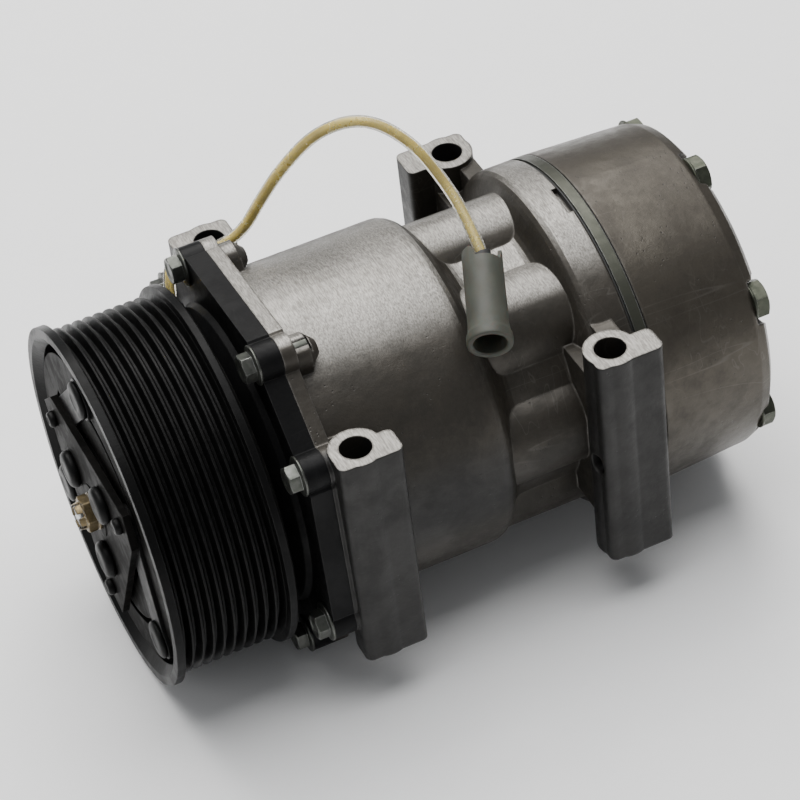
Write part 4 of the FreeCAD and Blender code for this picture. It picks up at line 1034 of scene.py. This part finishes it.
@dataclass(frozen=True)
class Clutch:
    """The clutch's front face: its rivets and the nut on the shaft."""

    rivet_sets: tuple[RivetSet, ...] = (
        RivetSet("hub_rivets", Body.SHAFT, circle=18.0 * MM, angle=14.0, radius=6.4 * MM, height=3.3 * MM),
        RivetSet("spring_rivets", Body.SHAFT, circle=34.0 * MM, angle=28.8, radius=2.8 * MM, height=2.4 * MM),
        RivetSet("armature_rivets", Body.ARMATURE, circle=47.0 * MM, angle=90.9, radius=6.4 * MM,
                 height=2.0 * MM),
    )
    nut_flats: float = 11.0 * MM
    nut_twist: float = 12.0
    bore: float = 4.05 * MM
    washer: float = 6.4 * MM
    washer_height: float = 0.9 * MM
    collar_share: float = 0.34

    def build(self) -> None:
        """Make the three sets of rivets and the nut."""
        for rivets in self.rivet_sets:
            rivets.build()
        self.nut()

    def nut(self) -> None:
        """A hexagon nut with a castellated collar.

        The profile runs up the outside, over the collar and down the bore; six
        slots lower the collar where the cosine of six times the angle is high.
        """
        low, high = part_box("shaft_nut")
        a, bore, washer, foot = self.nut_flats / 2, self.bore, self.washer, self.washer_height
        collar = self.collar_share * (high.x - low.x)
        body = high.x - low.x - collar
        angle = around(144)
        heights = foot + np.array([0.0, 0.02, 0.1, 0.5, 0.8, 0.9, 1.0]) * (body - foot)
        from_end = np.minimum(heights - foot, body - heights)
        sides = np.minimum(hexagon_radius(angle, a), np.minimum(a * 1.02 + from_end * 1.9, a * 1.3)[:, None])
        rim = body + collar * (1 - 0.85 * smooth_step((np.cos(6 * angle) - 0.45) / 0.25))
        skirt = [(0.0, washer - 0.3 * MM), (0.15 * MM, washer), (0.7 * MM, washer),
                 (0.88 * MM, washer - 0.25 * MM)]
        crown = [(body + (rim - body) * share, radius) for share, radius in (
            (0.6, 0.82 * a), (0.92, 0.8 * a), (1.0, 0.75 * a), (1.0, bore + 0.35 * MM),
            (0.9, bore + 0.02 * MM))]
        rows = [*skirt, *zip(heights, sides), (body + 0.02 * collar, 0.86 * a), *crown, (0.2 * MM, bore),
                (0.0, bore + 0.3 * MM)]
        seat = Seat(Vector((high.x, 0, 0)), FORWARD, math.radians(self.nut_twist))
        Shell().rings(seat.place(*stack_rows(rows, angle), angle), closed=True).piece(
            "clutch_nut", Body.SHAFT, Finishes.brass_pass, "passivated_steel", "shaft_nut", sharp=28.0)


@dataclass(frozen=True)
class BoltCircle:
    """Equal bolts in a ring about the shaft, with shorter shanks beside the mounting holes.

    The short ones are those whose angle has a cosine past short_past, either way.
    """

    piece: str
    node: str
    bolt: HexBolt
    finish: Finish
    outward: Vector
    circle: float
    angles: tuple[float, ...]
    short: float
    short_past: float
    first_twist: float
    twist_step: float

    def build(self) -> None:
        """Make the ring as one piece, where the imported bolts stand."""
        low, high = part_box(self.node)
        outer, inner = (high.x, low.x) if self.outward.x > 0 else (low.x, high.x)
        seat_x = outer - self.outward.x * self.bolt.head
        shell = Shell()
        for index, angle in enumerate(self.angles):
            beside_hole = abs(math.cos(math.radians(angle))) > self.short_past
            twist = math.radians(self.first_twist + self.twist_step * index)
            seat = Seat(round_axis(self.circle, angle, seat_x), self.outward, twist)
            shell.rings(self.bolt.surface(seat, self.short if beside_hole else abs(inner - seat_x)))
        shell.piece(self.piece, Body.HOUSING, self.finish, "zinc_plated_steel", self.node, sharp=28.0)


@dataclass(frozen=True)
class Fasteners:
    """The two sets of hexagon bolts that hold the housings."""

    circles: tuple[BoltCircle, ...] = (
        BoltCircle("front_bolt_set", "front_bolts",
                   HexBolt(flats=8.5 * MM, flange=6.6 * MM, flange_height=1.2 * MM, head=5.0 * MM,
                           shank=3.0 * MM),
                   Finishes.zinc, FORWARD, circle=63.8 * MM,
                   angles=(24.7, 58.2, 114.7, 148.2, 204.7, 238.2, 294.7, 328.2),
                   short=11.2 * MM, short_past=0.8, first_twist=17.0, twist_step=29.0),
        BoltCircle("head_bolt_set", "head_bolts",
                   HexBolt(flats=12.0 * MM, flange=7.0 * MM, flange_height=0.9 * MM, head=5.6 * MM,
                           shank=3.5 * MM),
                   Finishes.head_zinc, REARWARD, circle=51.4 * MM,
                   angles=tuple(100.0 + 360.0 / CYLINDERS * number for number in range(CYLINDERS)),
                   short=49.8 * MM, short_past=0.95, first_twist=0.0, twist_step=23.0),
    )

    def build(self) -> None:
        """Make both sets."""
        for circle in self.circles:
            circle.build()


# --------------------------------------------------------------------------
# the coil lead

LEAD_ROUTE_MM = (
    (-66.0, 36.4, 38.0), (-64.0, 45.0, 46.9), (-56.0, 46.6, 48.2), (-45.0, 45.6, 46.6),
    (-36.2, 43.6, 51.4), (-30.4, 40.2, 63.0), (-22.6, 36.0, 76.5), (-11.0, 29.0, 91.5),
    (2.2, 20.0, 97.0), (13.6, 11.4, 88.0), (19.6, 3.0, 75.0), (20.9, -8.8, 68.2),
    (19.9, -20.2, 62.2),
)


@dataclass(frozen=True)
class Connector:
    """The nylon housing at the lead's end: a flared mouth, a plain barrel and two horns at its back."""

    wire_end: tuple[float, float, float] = LEAD_ROUTE_MM[-1]
    mouth: tuple[float, float, float] = (6.98, -50.81, 52.89)
    length: float = 32.5 * MM
    horn: float = 4.2 * MM
    recess_depth: float = 5.0 * MM
    wall_depth: float = 8.0 * MM

    def build(self) -> bpy.types.Object:
        """Turn the shell, with its rear rim lowered except at the two horns.

        The profile runs up the outside from the mouth, over the rim, down the
        rear recess and the wire's hole, and back along the bore. The rim's
        height follows a smooth step of the cosine of the angle from the horns.

        Returns:
            The housing.
        """
        end, mouth = Vector(self.wire_end) * MM, Vector(self.mouth) * MM
        axis = (end - mouth).normalized()
        angle = around(120)
        rim = self.length - self.horn * (1 - smooth_step((np.abs(np.cos(angle)) - 0.62) / 0.26))
        recess, wall = self.length - self.recess_depth, self.length - self.wall_depth
        outside = MM * eased([(-1.5, 5.3), (-2.0, 5.8), (-2.0, 7.1), (-1.3, 7.35), (1.0, 7.3), (2.4, 6.75),
                              (5.0, 6.5), (14.0, 6.45), (24.0, 6.4)], 0.35)
        lip = [(rim - drop * MM, radius * MM) for drop, radius in (
            (0.35, 6.4), (0.08, 6.25), (0.0, 6.0), (0.0, 5.35), (0.1, 5.15))]
        inside = [(recess, 5.0 * MM), (recess, 2.95 * MM), (wall, 2.95 * MM), (wall, 5.2 * MM),
                  (wall - 0.5 * MM, 5.3 * MM)]
        seat = Seat(end - axis * self.length, axis)
        grid = seat.place(*stack_rows([*outside, *lip, *inside], angle), angle)
        return Shell().rings(grid, closed=True).piece("connector_shell", Body.HOUSING, Finishes.nylon,
                                                      "natural_nylon", "connector_housing")


@dataclass(frozen=True)
class CoilLead:
    """The clutch coil's single lead: a yellow wire in a clear sleeve."""

    route: tuple[tuple[float, float, float], ...] = LEAD_ROUTE_MM
    sleeve_radius: float = 2.0 * MM
    core_radius: float = 1.15 * MM
    length: float = 0.1655

    def curve(self, name: str, radius: float, finish: Finish) -> bpy.types.Object:
        """A smooth curve that follows the route, as thick as asked.

        Args:
            name: the piece's name.
            radius: half the thickness.
            finish: what it is made of.

        Returns:
            The curve object.
        """
        data = bpy.data.curves.new(name, "CURVE")
        data.dimensions, data.bevel_depth, data.bevel_resolution = "3D", radius, 6
        data.use_fill_caps, data.resolution_u, data.render_resolution_u = True, 12, 12
        spline = data.splines.new("NURBS")
        spline.points.add(len(self.route) - 1)
        for point, place in zip(spline.points, self.route):
            point.co = (*(v * MM for v in place), 1.0)
        spline.order_u, spline.use_endpoint_u = 3, True
        obj = bpy.data.objects.new(name, data)
        bpy.context.scene.collection.objects.link(obj)
        data.materials.append(finish.material())
        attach(obj, Body.HOUSING.value)
        return obj

    def build(self, with_pieces: Sequence[bpy.types.Object | str]) -> None:
        """Args:
            with_pieces: what hangs on the lead's far end; not used.
        """
        core = self.curve("lead_insulation", self.core_radius, Finishes.lead_core)
        sleeve = self.curve("lead_sleeve", self.sleeve_radius, Finishes.lead_sleeve)
        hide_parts("lead_wire")
        LOG.info("built lead_sleeve with %d route points", len(self.route))


# --------------------------------------------------------------------------
# the whole


def main() -> None:
    """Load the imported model, build and dress every piece, and set up the studio."""
    logging.basicConfig(level=logging.WARNING, format="%(name)s: %(message)s")
    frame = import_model()
    packed_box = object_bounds()
    dress_nodes(frame["nodes"])
    Clutch().build()
    Fasteners().build()
    CoilLead().build([Connector().build(), "wire_seal", "connector_terminal"])
    Studio(floor_level=packed_box[0].z).build()


if __name__ == "__main__":
    main()
